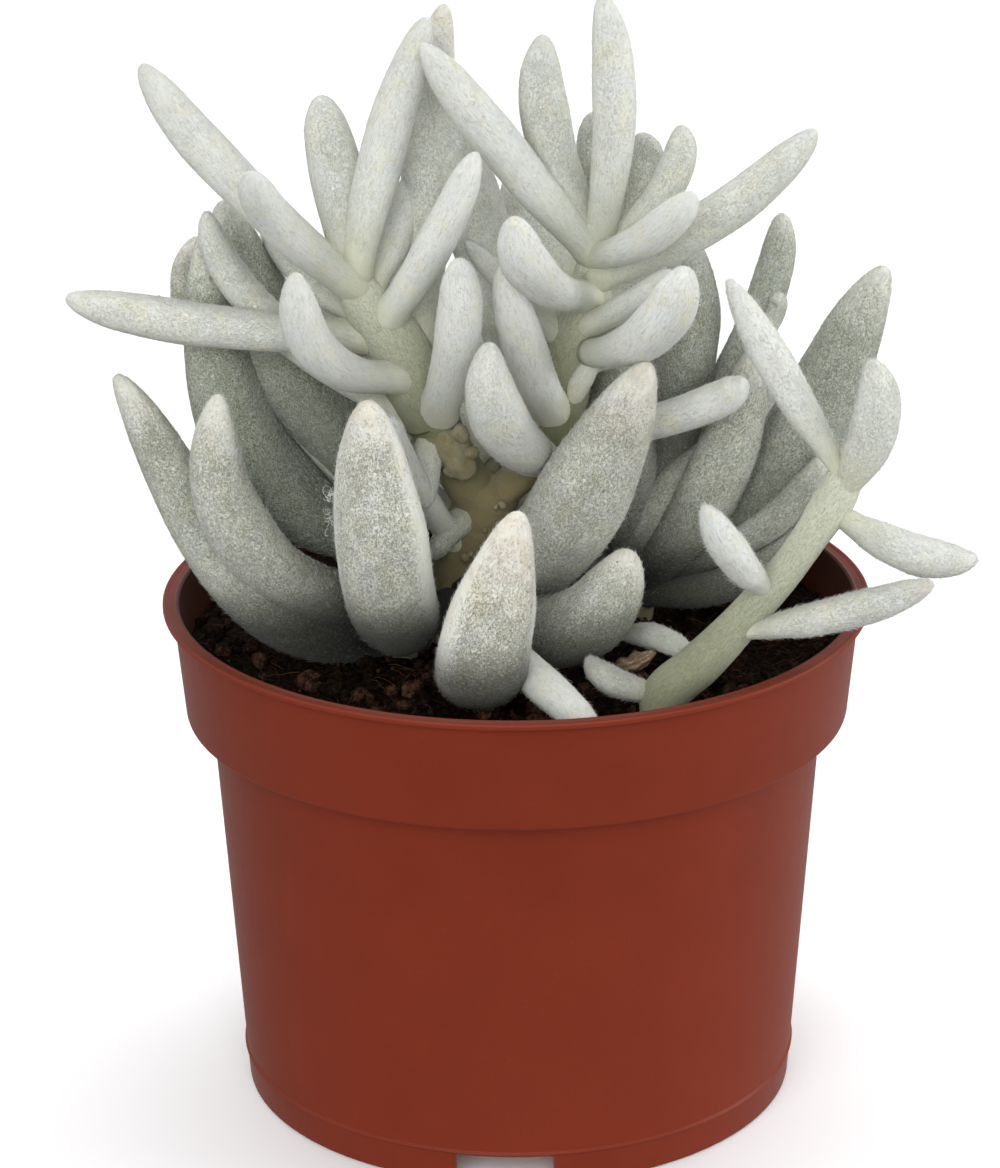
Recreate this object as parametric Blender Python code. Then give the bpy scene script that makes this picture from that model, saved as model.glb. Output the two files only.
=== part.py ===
"""A potted senecio: a cocoon plant with white-felted finger leaves, in a plastic nursery pot.

Metres, +Z up. The pot stands on z = 0 with its axis on the origin, and -Y is the side that faces the
viewer. The leaf and stem rows below are in millimetres.
"""
import math
import random

import bmesh
import bpy
from mathutils import Vector

MM = 0.001
GAP = 0.3

# Pot: a tapered wall with a collar and a flat lip, on a notched foot ring
POT_HEIGHT = 88.5
LIP_RADIUS = 60.3
LIP_THICKNESS = 0.9
COLLAR_TOP_RADIUS = 58.6
COLLAR_FOOT_RADIUS = 56.8
COLLAR_FOOT_HEIGHT = 68.8
WALL_TOP_RADIUS = 52.5
WALL_FOOT_RADIUS = 47.7
WALL_THICKNESS = 1.2
RIDGE_HEIGHT = 5.9
RIDGE_DEPTH = 0.4
BASE_UNDERSIDE = 5.6
BASE_THICKNESS = 1.3
LEDGE_TOP = COLLAR_FOOT_HEIGHT + WALL_THICKNESS
BASE_TOP = BASE_UNDERSIDE + BASE_THICKNESS
POT_SIDES = 44
NOTCH_WIDTH = 16.6
NOTCH_SIDE_SLOPE = 0.6
NOTCH_HEIGHT = 5.2
NOTCH_CUTTER_REACH = 8.0
NOTCH_COUNT = 3
# Radians about the axis, from +X to the middle of the notch at the front
FIRST_NOTCH_TURN = -1.626
DRAIN_RADIUS = 5.0
DRAIN_RING_RADIUS = 29.0
DRAIN_COUNT = 6

# Soil: a plug that fills the pot to just under the lip, with a gently lumpy top
SOIL_TOP = 79.7
SOIL_LUMP = 0.7
# Swells of the soil's top: (share of SOIL_LUMP, radians per millimetre of x, of y, radians at the centre)
SOIL_SWELLS = ((0.6, 0.12, 0.10, 0.7), (0.4, 0.23, -0.19, 0.0))
SOIL_RINGS = 6
SOIL_SIDES = 32
HOLE_CUTTER_HEIGHT = 17.0
HOLE_SIDES = 12

# Leaves: felted fingers, a little flatter than round, blunt at the tip and narrow at the heel
LEAF_SIDES = 8
LEAF_FLATNESS = 0.8
LEAF_STATIONS = (0.0, 0.14, 0.34, 0.58, 0.80, 0.94)
FINGER_SHAPE = (0.64, 0.74, 0.92, 1.0, 0.93, 0.64)
LANCE_SHAPE = (0.52, 0.69, 0.92, 1.0, 0.81, 0.46)
FINGER_WIDTH = 8.0
LANCE_WIDTH = 14.0
STEM_SIDES = 8

# Colours, each with its roughness
PLASTIC = ((0.24, 0.055, 0.03), 0.42)
PEAT = ((0.02, 0.012, 0.008), 0.95)
FELT = ((0.56, 0.59, 0.52), 0.9)
DRY_BROWN = ((0.2, 0.14, 0.09), 0.9)

# Stems: path points (x, y, z, radius) from the buried end to the crown
STEMS = {
    "trunk": (
        (-11, 3, 69.1, 4.8),
        (-11, 3, 82.1, 4.8),
        (-9, 1, 95.1, 4.6),
        (-5, 0, 105.1, 5.2),
        (-3, 0, 109.1, 4.8),
    ),
    "left_branch": (
        (-6, 0, 104.1, 4.4),
        (-14, -2, 120.1, 4.8),
        (-19, -3, 132.1, 5.4),
        (-24, -4, 140.1, 4.2),
        (-28, -4, 148.1, 2.2),
    ),
    "right_branch": (
        (-4, 0, 105.1, 4.4),
        (3.5, 1, 112.1, 4.4),
        (7, 1.5, 120.1, 4.7),
        (9, 3, 130.1, 4.7),
        (12.5, 3, 140.1, 3.8),
        (14, 3, 151.1, 1.8),
    ),
    "left_shoot": ((-19, -5, 69.1, 3.8), (-19, -5, 83.1, 3.8), (-19, -4, 97.1, 3.6), (-20, -2, 108.1, 2.8)),
    "right_shoot": ((20, 12, 69.1, 4), (20, 12, 82.1, 4), (24, 14, 97.1, 3.8), (31, 16, 113.1, 2.8)),
    "side_shoot": (
        (24, -33, 69.1, 3.9),
        (24, -33, 81.1, 3.9),
        (30, -33, 88.1, 3.7),
        (38.5, -32, 97.1, 3.1),
        (47, -31, 108.1, 2.9),
        (51.5, -30, 115.1, 3.4),
        (54, -30, 121.1, 2.8),
    ),
    "back_shoot": ((-5, 27, 69.1, 3.8), (-5, 27, 82.1, 3.8), (-4, 29, 94.1, 3.5), (-3, 31, 104.1, 2.6)),
}

# Leaves by stem: (height where the leaf leaves the stem, width, points on its path and last its tip)
LEAVES = {
    "left_branch": (
        (144.1, 8.7, (-47.3, 3, 161.8), (-61.5, 8, 179.1)),
        (143.1, 7.5, (-37.9, -14, 157.2), (-41.4, -24, 168.8)),
        (135.1, 8.8, (-51, -6, 138.3), (-74, -8, 143.8)),
        (128.1, 8.2, (-31, -18, 136.1), (-35, -26, 153.1)),
        (118.1, 7.4, (-41, 1, 137.1), (-51, 2, 155.6)),
        (145.1, 8.8, (-21.4, 1, 166.1), (-13.8, 2, 188.1)),
        (145.1, 8.7, (-29.4, 6, 159.5), (-32.2, 10, 173.1)),
        (129.1, 8.4, (-15.2, 5, 147.1), (-14, 11, 167.1), (-11.2, 16, 187.1)),
        (142.1, 5.7, (-19.2, 5, 151.1), (-18.3, 8, 159.1)),
        (137.1, 7.7, (-13.5, -10.5, 152.1), (-6, -12, 169.1)),
        (119.1, 7.8, (-9.5, -16, 138.1), (-9, -18, 153.1)),
        (147.1, 2.6, (-29, -5, 148.1), (-30, -7, 151.1)),
        (119.1, 4.6, (-15, -8, 113.1), (-15, -10, 107.1)),
        (120.1, 5.6, (-11, -5, 116.1), (-8, -7, 111.1)),
    ),
    "trunk": (
        (95.1, 6.2, (-18.5, -12, 115.1), (-21, -14, 125.1)),
        (104.1, 4.5, (-11, -4, 101.1), (-14, -4, 96.1)),
        (88.1, 19, (3.5, -5, 96.6), (12.6, -13, 113.6), (21.8, -18, 135.1)),
        (87.1, 16, (-6.5, -26, 85.7), (-5.5, -40, 92.6), (0.5, -42, 118.1)),
        (85.1, 15, (8.5, -17, 90.6), (18.3, -20, 102.8)),
        (85.1, 6.4, (1.5, -33, 87.1), (11, -47, 85.6)),
    ),
    "right_branch": (
        (119.1, 7.8, (2.5, -9, 131.9), (-2, -16, 151.1)),
        (112.1, 10, (1, -11, 118.1), (-3, -20, 127.1), (-4, -24, 140.6)),
        (131.1, 5.4, (1, 2, 140.1), (-8, 2, 150.1)),
        (116.1, 12, (-2.6, 5.5, 139.1), (-7.8, 10, 157.1), (-14, 11, 174.1)),
        (147.1, 9.6, (-1, -2, 166.1), (-15, -4, 185.1)),
        (148.1, 9.7, (6, 4, 167.1), (5.1, 6, 184.1)),
        (148.1, 7.1, (16.5, -3, 172.1), (14.5, -2, 192.6)),
        (146.1, 6, (13.2, 8, 158.6), (13.4, 12, 169.4)),
        (144.1, 6.7, (21.5, 8, 157.6), (20.5, 12, 165.3)),
        (145.1, 7.2, (25.2, 4, 158.1), (27.6, 6, 168.6)),
        (147.1, 7.5, (22, -10, 154.1), (29, -16, 163.1)),
        (143.1, 9.1, (33.4, -3, 155.5), (49.5, -4, 170.3)),
        (140.1, 8.5, (3.5, -16, 149.1), (0, -22, 161.1)),
        (131.1, 9.6, (22.5, -18, 140.6), (27.5, -22, 152.6)),
        (134.1, 5.9, (21, -8, 143.1), (26, -10, 148.1)),
        (150.1, 2.2, (13, 1, 151.6), (12, 0, 153.6)),
        (119.1, 3.7, (11, -1, 126.1), (13, -2, 131.1)),
        (114.1, 7.6, (29.5, -1, 121.1), (37.5, -3, 127.1)),
        (128.1, 7.4, (21, 2, 132.3), (26.4, 0, 135.6)),
        (133.1, 7.6, (18.8, 9.5, 137.6), (22.2, 13.5, 141.6)),
    ),
    "left_shoot": (
        (85.1, 15.8, (-20.5, -19, 92.6), (-22.5, -27, 111.6), (-24, -26, 131.6)),
        (104.1, 12.8, (-39.8, 9, 129.6), (-49, 14, 154.1)),
        (98.1, 13.8, (-39, 0, 106.3), (-49.2, 2.5, 124.4), (-51.4, 8, 151.3)),
        (93.1, 7.2, (-50.5, 9, 127.1), (-52.8, 13, 147.9)),
        (90.1, 13.2, (-36, -14, 95.1), (-47, -21, 110.6), (-48, -24, 132.1)),
        (84.1, 13, (-40, -14, 89.6), (-54, -14, 109.6), (-65.7, -14, 132.3)),
        (85.1, 6, (-46.5, -4, 93.6), (-58.5, 0, 103.6)),
    ),
    "right_shoot": (
        (85.1, 13, (33, 5, 105.1), (41, 8, 129.1)),
        (109.1, 8.3, (41.4, 15, 132.1), (45.3, 14, 151.1)),
        (107.1, 3.8, (42.5, 10, 131.1), (43.5, 8, 137.6)),
        (93.1, 16.2, (43, 13, 103.1), (54.5, 14, 120.6), (63.2, 12, 142.1)),
        (88.1, 7, (40, 5, 96.3), (53, 4, 112)),
        (84.1, 7.4, (36, 4, 88.1), (49, 6, 97.1)),
        (87.1, 7, (44, 15, 91.1), (52, 20, 95.1)),
        (91.1, 9.4, (24, 10, 99.1), (35, 10, 112.1)),
        (98.1, 14, (28.8, 14, 127.1), (29.3, 13, 147.1)),
        (89.1, 11.4, (18.5, 12.6, 105.1), (17.2, 7.6, 125.6)),
    ),
    "side_shoot": (
        (119.1, 7.4, (43, -29, 136.1), (34, -28, 152.1)),
        (115.1, 8.6, (57.7, -32, 128.1), (56.5, -34, 140.2)),
        (114.1, 7.9, (64, -31, 106.5), (75, -32, 105.8)),
        (93.1, 6.9, (54, -38, 99.1), (67, -40, 104.6)),
        (100.1, 7, (35, -38, 108.6), (30, -40, 118.1)),
        (88.1, 5, (23.5, -16, 86.1), (17.5, -9, 83.6)),
        (82.6, 5.4, (16, -31, 84.1), (12, -27, 87.1)),
    ),
    "back_shoot": (),
}

# Far-side leaves, which follow a rule: (stem, count, lowest and highest root, first and last compass
# heading in degrees from +X, lowest and highest rise in degrees, longest and shortest length, width)
FAR_SIDE = (
    ("back_shoot", 12, 86.1, 102.1, -5, 185, 10, 48, 38, 32, 8.4),
    ("right_shoot", 3, 91.1, 105.1, 35, 80, 12, 30, 36, 32, 8.0),
    ("left_shoot", 4, 89.1, 105.1, 110, 165, 12, 40, 36, 32, 8.0),
    ("left_branch", 4, 125.1, 139.1, 75, 145, 5, 20, 36, 32, 7.6),
    ("right_branch", 4, 127.1, 142.1, 65, 125, 5, 20, 36, 34, 7.8),
)
GOLDEN_STEP = 0.618
LENGTH_PLAY = 2.0
HEADING_PLAY = 5.0
FAR_SIDE_SAG = 0.08

# Dry leaf: a brown stub that lies on the soil
DRY_LEAF_PATH = ((16, -21, 82.1), (19.5, -21.5, 83.6), (23, -22, 85.6))
DRY_LEAF_WIDTH = 3.8


def link(mesh, name):
    obj = bpy.data.objects.new(name, mesh)
    bpy.context.scene.collection.objects.link(obj)
    return obj


def mesh_of(name, points, faces):
    """A mesh from points in millimetres and faces, with its faces turned out."""
    mesh = bpy.data.meshes.new(name)
    mesh.from_pydata([Vector(p) * MM for p in points], [], faces)
    shape = bmesh.new()
    shape.from_mesh(mesh)
    bmesh.ops.recalc_face_normals(shape, faces=shape.faces)
    shape.to_mesh(mesh)
    shape.free()
    mesh.shade_smooth()
    return mesh


def paint(obj, name, look):
    colour, roughness = look
    material = bpy.data.materials.new(name)
    material.use_nodes = True
    shader = material.node_tree.nodes["Principled BSDF"]
    shader.inputs["Base Color"].default_value = (*colour, 1.0)
    shader.inputs["Roughness"].default_value = roughness
    obj.data.materials.clear()
    obj.data.materials.append(material)


def lathe(name, profile, sides):
    """A closed (radius, height) profile turned about the z axis. A point on the axis becomes one vertex."""
    points = []
    rings = []
    for radius, height in profile:
        first = len(points)
        if radius == 0:
            points.append((0, 0, height))
            rings.append([first] * sides)
            continue
        for k in range(sides):
            angle = 2 * math.pi * (k + 0.5) / sides
            points.append((radius * math.cos(angle), radius * math.sin(angle), height))
        rings.append(list(range(first, first + sides)))
    faces = []
    for low, high in zip(rings, rings[1:] + rings[:1]):
        for k in range(sides):
            corners = (low[k], low[(k + 1) % sides], high[(k + 1) % sides], high[k])
            face = list(dict.fromkeys(corners))
            if len(face) > 2:
                faces.append(face)
    return mesh_of(name, points, faces)


def tube(name, rings, end):
    """A closed tube: rings of points, a flat cap on the first ring and a point past the last one."""
    sides = len(rings[0])
    points = [p for ring in rings for p in ring] + [end]
    faces = [list(range(sides))]
    for r in range(len(rings) - 1):
        for k in range(sides):
            a = r * sides + k
            b = r * sides + (k + 1) % sides
            faces.append((a, b, b + sides, a + sides))
    last = (len(rings) - 1) * sides
    faces += [(last + k, last + (k + 1) % sides, len(points) - 1) for k in range(sides)]
    return mesh_of(name, points, faces)


def oval(centre, side, over, half_width, half_depth, sides):
    turns = [2 * math.pi * (k + 0.5) / sides for k in range(sides)]
    return [centre + side * half_width * math.cos(t) + over * half_depth * math.sin(t) for t in turns]


def stem_point(stem, height):
    """The centre of the stem at this height."""
    path = [Vector(p[:3]) for p in STEMS[stem]]
    for low, high in zip(path, path[1:]):
        if height <= high.z:
            break
    return low.lerp(high, (height - low.z) / (high.z - low.z))


def stem_mesh(stem):
    """Round rings at the path points, level in the buried part and square to the path above it."""
    path = STEMS[stem]
    rings = []
    for k, (x, y, z, radius) in enumerate(path):
        before = Vector(path[max(k - 1, 0)][:3])
        after = Vector(path[min(k + 1, len(path) - 1)][:3])
        along = (after - before).normalized() if k > 1 else Vector((0, 0, 1))
        side = Vector((0, 1, 0)).cross(along).normalized()
        rings.append(oval(Vector((x, y, z)), side, along.cross(side), radius, radius, STEM_SIDES))
    x, y, z, radius = path[-1]
    return tube(stem, rings, Vector((x, y, z)) + along * radius)


def along_path(points, t):
    """The point at t of the smooth curve that passes the path points at even steps of t."""
    last = len(points) - 1
    total = Vector((0, 0, 0))
    for k, point in enumerate(points):
        weight = 1.0
        for other in range(last + 1):
            if other != k:
                weight *= (t * last - other) / (k - other)
        total += Vector(point) * weight
    return total


def leaf_mesh(points, width):
    """A felted finger along the path. Its wide side is level and its thin side faces the stem. Narrow
    leaves end like a finger, and the wider a leaf is, the more it tapers like a lance."""
    chord = Vector(points[-1]) - Vector(points[0])
    side = Vector((chord.x, chord.y, 0)).normalized().cross(Vector((0, 0, 1)))
    lance = min(max((width - FINGER_WIDTH) / (LANCE_WIDTH - FINGER_WIDTH), 0.0), 1.0)
    rings = []
    for t, finger_share, lance_share in zip(LEAF_STATIONS, FINGER_SHAPE, LANCE_SHAPE):
        along = (along_path(points, t + 0.01) - along_path(points, t - 0.01)).normalized()
        flat = (side - along * side.dot(along)).normalized()
        half = width / 2 * (finger_share + (lance_share - finger_share) * lance)
        over = flat.cross(along)
        rings.append(oval(along_path(points, t), flat, over, half, half * LEAF_FLATNESS, LEAF_SIDES))
    return tube("leaf", rings, Vector(points[-1]))


def far_side_leaves(stem):
    """Rows like those of LEAVES: roots climb the stem by even steps, headings go round by golden steps."""
    rows = []
    for name, count, low, high, first, last, low_rise, high_rise, long, short, width in FAR_SIDE:
        if name != stem:
            continue
        draw = random.Random(name)
        for k in range(count):
            up = k / (count - 1)
            turn = (k * GOLDEN_STEP) % 1.0
            play = draw.uniform(-HEADING_PLAY, HEADING_PLAY)
            heading = math.radians(first + (last - first) * turn + play)
            rise = math.radians(low_rise + (high_rise - low_rise) * up)
            length = long + (short - long) * up + draw.uniform(-LENGTH_PLAY, LENGTH_PLAY)
            height = low + (high - low) * up
            level = Vector((math.cos(heading), math.sin(heading), 0))
            aim = level * math.cos(rise) + Vector((0, 0, math.sin(rise)))
            root = stem_point(stem, height)
            tip = root + aim * length
            middle = root.lerp(tip, 0.5) - Vector((0, 0, length * FAR_SIDE_SAG))
            rows.append((height, width, middle, tip))
    return rows


def keep_one_body(obj):
    """Removes closed hollows and loose scraps, so that only the outer skin is left."""
    shape = bmesh.new()
    shape.from_mesh(obj.data)
    shape.verts.ensure_lookup_table()
    groups = []
    seen = set()
    for vert in shape.verts:
        if vert in seen:
            continue
        group = {vert}
        edge_of_group = [vert]
        while edge_of_group:
            here = edge_of_group.pop()
            for edge in here.link_edges:
                other = edge.other_vert(here)
                if other not in group:
                    group.add(other)
                    edge_of_group.append(other)
        seen |= group
        groups.append(group)
    groups.sort(key=len)
    for group in groups[:-1]:
        bmesh.ops.delete(shape, geom=list(group), context="VERTS")
    shape.to_mesh(obj.data)
    shape.free()


def leafy_stem(name, stems):
    """The stems and all their leaves, joined into one solid."""
    body = link(stem_mesh(stems[0]), name)
    repeats = bpy.data.collections.new(name + "_repeats")
    bpy.context.scene.collection.children.link(repeats)
    meshes = [stem_mesh(stem) for stem in stems[1:]]
    for stem in stems:
        for height, width, *path in (*LEAVES[stem], *far_side_leaves(stem)):
            meshes.append(leaf_mesh((stem_point(stem, height), *path), width))
    for mesh in meshes:
        repeats.objects.link(bpy.data.objects.new("repeat", mesh))
    union = body.modifiers.new("union", "BOOLEAN")
    union.operation = "UNION"
    union.operand_type = "COLLECTION"
    union.collection = repeats
    union.solver = "MANIFOLD"
    bpy.context.view_layer.objects.active = body
    bpy.ops.object.modifier_apply(modifier=union.name)
    for obj in list(repeats.objects):
        bpy.data.objects.remove(obj)
    bpy.data.collections.remove(repeats)
    keep_one_body(body)
    body.data.shade_smooth()
    paint(body, name + "_felt", FELT)


def cut(obj, cutters):
    for k, cutter in enumerate(cutters):
        cutter.hide_render = True
        cutter.display_type = "WIRE"
        modifier = obj.modifiers.new(f"cut_{k}", "BOOLEAN")
        modifier.operation = "DIFFERENCE"
        modifier.object = cutter
        modifier.solver = "EXACT"


def upright_cutter(name, x, y, radius, low, high):
    """A round cutter from low to high, with a point on top."""
    across = Vector((1, 0, 0))
    deep = Vector((0, 1, 0))
    rings = [oval(Vector((x, y, z)), across, deep, radius, radius, HOLE_SIDES) for z in (low, high)]
    return link(tube(name, rings, Vector((x, y, high + radius))), name)


def wall_radius(height):
    return WALL_FOOT_RADIUS + (WALL_TOP_RADIUS - WALL_FOOT_RADIUS) * height / COLLAR_FOOT_HEIGHT


def collar_radius(height):
    share = (height - COLLAR_FOOT_HEIGHT) / (POT_HEIGHT - LIP_THICKNESS - COLLAR_FOOT_HEIGHT)
    return COLLAR_FOOT_RADIUS + (COLLAR_TOP_RADIUS - COLLAR_FOOT_RADIUS) * share


def notch_cutter(k):
    """A wedge across the foot ring, a little wider at the foot than at its head."""
    turn = 2 * math.pi * k / NOTCH_COUNT + FIRST_NOTCH_TURN
    out = Vector((math.cos(turn), math.sin(turn), 0))
    across = Vector((-out.y, out.x, 0))
    foot = NOTCH_WIDTH / 2 + NOTCH_SIDE_SLOPE
    head = NOTCH_WIDTH / 2 - NOTCH_SIDE_SLOPE
    section = ((-foot, -1), (foot, -1), (head, NOTCH_HEIGHT), (-head, NOTCH_HEIGHT))
    corners = []
    for distance in (WALL_FOOT_RADIUS - NOTCH_CUTTER_REACH, WALL_FOOT_RADIUS + NOTCH_CUTTER_REACH):
        for sideways, height in section:
            corners.append(out * distance + across * sideways + Vector((0, 0, height)))
    faces = ((0, 1, 2, 3), (4, 5, 6, 7), (0, 1, 5, 4), (1, 2, 6, 5), (2, 3, 7, 6), (3, 0, 4, 7))
    return link(mesh_of("notch_cutter", corners, faces), f"notch_cutter_{k}")


def drain_cutter(k):
    turn = 2 * math.pi * k / DRAIN_COUNT
    x = DRAIN_RING_RADIUS * math.cos(turn)
    y = DRAIN_RING_RADIUS * math.sin(turn)
    return upright_cutter(f"drain_cutter_{k}", x, y, DRAIN_RADIUS, BASE_UNDERSIDE - 1, BASE_TOP + 1)


def make_pot():
    under_lip = POT_HEIGHT - LIP_THICKNESS
    profile = (
        (0, BASE_UNDERSIDE),
        (wall_radius(BASE_UNDERSIDE) - WALL_THICKNESS, BASE_UNDERSIDE),
        (WALL_FOOT_RADIUS - WALL_THICKNESS, 0),
        (WALL_FOOT_RADIUS, 0),
        (wall_radius(RIDGE_HEIGHT - RIDGE_DEPTH), RIDGE_HEIGHT - RIDGE_DEPTH),
        (wall_radius(RIDGE_HEIGHT) + RIDGE_DEPTH, RIDGE_HEIGHT),
        (wall_radius(RIDGE_HEIGHT + RIDGE_DEPTH), RIDGE_HEIGHT + RIDGE_DEPTH),
        (WALL_TOP_RADIUS, COLLAR_FOOT_HEIGHT),
        (COLLAR_FOOT_RADIUS, COLLAR_FOOT_HEIGHT),
        (COLLAR_TOP_RADIUS, under_lip),
        (LIP_RADIUS, under_lip),
        (LIP_RADIUS, POT_HEIGHT),
        (collar_radius(POT_HEIGHT) - WALL_THICKNESS, POT_HEIGHT),
        (collar_radius(LEDGE_TOP) - WALL_THICKNESS, LEDGE_TOP),
        (wall_radius(LEDGE_TOP) - WALL_THICKNESS, LEDGE_TOP),
        (wall_radius(BASE_TOP) - WALL_THICKNESS, BASE_TOP),
        (0, BASE_TOP),
    )
    pot = link(lathe("pot", profile, POT_SIDES), "pot")
    cut(pot, [notch_cutter(k) for k in range(NOTCH_COUNT)] + [drain_cutter(k) for k in range(DRAIN_COUNT)])
    paint(pot, "terracotta_plastic", PLASTIC)


def soil_height(x, y):
    """The soil's top: slow swells across the pot, flat enough for stems and leaves to rest on."""
    lump = sum(share * math.sin(by_x * x + by_y * y + start) for share, by_x, by_y, start in SOIL_SWELLS)
    return SOIL_TOP + SOIL_LUMP * lump


def make_soil():
    edge = collar_radius(SOIL_TOP) - WALL_THICKNESS - 2 * GAP
    points = [(0, 0, soil_height(0, 0))]
    for r in range(1, SOIL_RINGS + 1):
        radius = edge * r / SOIL_RINGS
        for k in range(SOIL_SIDES):
            angle = 2 * math.pi * (k + 0.5) / SOIL_SIDES
            x = radius * math.cos(angle)
            y = radius * math.sin(angle)
            points.append((x, y, soil_height(x, y)))
    lower = (
        (collar_radius(LEDGE_TOP) - WALL_THICKNESS - 2 * GAP, LEDGE_TOP + GAP),
        (wall_radius(LEDGE_TOP) - WALL_THICKNESS - 2 * GAP, LEDGE_TOP + GAP),
        (wall_radius(BASE_TOP) - WALL_THICKNESS - 2 * GAP, BASE_TOP + GAP),
    )
    for radius, height in lower:
        for k in range(SOIL_SIDES):
            angle = 2 * math.pi * (k + 0.5) / SOIL_SIDES
            points.append((radius * math.cos(angle), radius * math.sin(angle), height))
    faces = [(0, 1 + k, 1 + (k + 1) % SOIL_SIDES) for k in range(SOIL_SIDES)]
    for r in range(SOIL_RINGS + len(lower) - 1):
        for k in range(SOIL_SIDES):
            a = 1 + r * SOIL_SIDES + k
            b = 1 + r * SOIL_SIDES + (k + 1) % SOIL_SIDES
            faces.append((a, b, b + SOIL_SIDES, a + SOIL_SIDES))
    faces.append(range(len(points) - SOIL_SIDES, len(points)))
    soil = link(mesh_of("soil", points, faces), "soil")
    cutters = []
    for name in ("trunk", "left_shoot", "right_shoot", "side_shoot", "back_shoot"):
        x, y, z, radius = STEMS[name][0]
        hole = (radius + GAP) / math.cos(math.pi / HOLE_SIDES)
        cutters.append(upright_cutter(name + "_hole_cutter", x, y, hole, z - GAP, z + HOLE_CUTTER_HEIGHT))
    cut(soil, cutters)
    paint(soil, "peat", PEAT)


def make_dry_leaf():
    obj = link(leaf_mesh(DRY_LEAF_PATH, DRY_LEAF_WIDTH), "dry_leaf")
    paint(obj, "dry_leaf_brown", DRY_BROWN)


def main():
    for obj in list(bpy.data.objects):
        bpy.data.objects.remove(obj)
    make_pot()
    make_soil()
    leafy_stem("main_plant", ("trunk", "left_branch", "right_branch"))
    leafy_stem("left_shoot", ("left_shoot",))
    leafy_stem("right_shoot", ("right_shoot",))
    leafy_stem("side_shoot", ("side_shoot",))
    leafy_stem("back_shoot", ("back_shoot",))
    make_dry_leaf()


main()
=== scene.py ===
"""The looks of a potted senecio: felted leaves on short stems, a plastic nursery pot and peat.

The shape functions work in millimetres, in the part's own frame, and Piece.make turns them into metres.
"""
import itertools
import math
import random

import bpy
import numpy as np
from mathutils import Matrix, Vector


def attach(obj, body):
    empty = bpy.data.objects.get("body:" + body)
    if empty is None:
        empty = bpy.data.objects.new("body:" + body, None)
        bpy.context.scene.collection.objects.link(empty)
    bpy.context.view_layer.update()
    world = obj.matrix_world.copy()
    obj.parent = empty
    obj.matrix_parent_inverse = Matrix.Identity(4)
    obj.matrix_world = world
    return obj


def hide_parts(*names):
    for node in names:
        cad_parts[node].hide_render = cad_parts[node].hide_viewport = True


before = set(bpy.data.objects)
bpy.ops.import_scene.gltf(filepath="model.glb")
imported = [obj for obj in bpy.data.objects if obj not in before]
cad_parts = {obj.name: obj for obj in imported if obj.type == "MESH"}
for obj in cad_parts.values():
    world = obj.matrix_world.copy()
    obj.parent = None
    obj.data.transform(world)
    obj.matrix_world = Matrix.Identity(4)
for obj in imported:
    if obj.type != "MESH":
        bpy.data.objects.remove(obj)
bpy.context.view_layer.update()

MM = 0.001

# Stems: path points (x, y, z, radius) from the buried end to the crown
STEMS = {
    "trunk": (
        (-11, 3, 69.1, 4.8),
        (-11, 3, 82.1, 4.8),
        (-9, 1, 95.1, 4.6),
        (-5, 0, 105.1, 5.2),
        (-3, 0, 109.1, 4.8),
    ),
    "left_branch": (
        (-6, 0, 104.1, 4.4),
        (-14, -2, 120.1, 4.8),
        (-19, -3, 132.1, 5.4),
        (-24, -4, 140.1, 4.2),
        (-28, -4, 148.1, 2.2),
    ),
    "right_branch": (
        (-4, 0, 105.1, 4.4),
        (3.5, 1, 112.1, 4.4),
        (7, 1.5, 120.1, 4.7),
        (9, 3, 130.1, 4.7),
        (12.5, 3, 140.1, 3.8),
        (14, 3, 151.1, 1.8),
    ),
    "left_shoot": ((-19, -5, 69.1, 3.8), (-19, -5, 83.1, 3.8), (-19, -4, 97.1, 3.6), (-20, -2, 108.1, 2.8)),
    "right_shoot": ((20, 12, 69.1, 4), (20, 12, 82.1, 4), (24, 14, 97.1, 3.8), (31, 16, 113.1, 2.8)),
    "side_shoot": (
        (24, -33, 69.1, 3.9),
        (24, -33, 81.1, 3.9),
        (30, -33, 88.1, 3.7),
        (38.5, -32, 97.1, 3.1),
        (47, -31, 108.1, 2.9),
        (51.5, -30, 115.1, 3.4),
        (54, -30, 121.1, 2.8),
    ),
    "back_shoot": ((-5, 27, 69.1, 3.8), (-5, 27, 82.1, 3.8), (-4, 29, 94.1, 3.5), (-3, 31, 104.1, 2.6)),
}

# How brown and bare each stem is, from 0 for a green young one to 1 for an old woody one
STEM_AGE = {
    "trunk": 1.0,
    "left_branch": 0.22,
    "right_branch": 0.25,
    "left_shoot": 0.8,
    "right_shoot": 0.6,
    "side_shoot": 0.10,
    "back_shoot": 0.6,
}
# The leaf values that stems carry too, because all shells of a piece share them, and those of the beads
STEM_VALUES = {"margin": 0, "root": 1, "dirt": 0, "bare": 0.5, "blush": 0, "tone": 0}
BEAD_VALUES = {**STEM_VALUES, "along": 0.8, "age": 0.7, "bare": 0.3, "blush": 0.4, "tone": 0.5}

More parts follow.
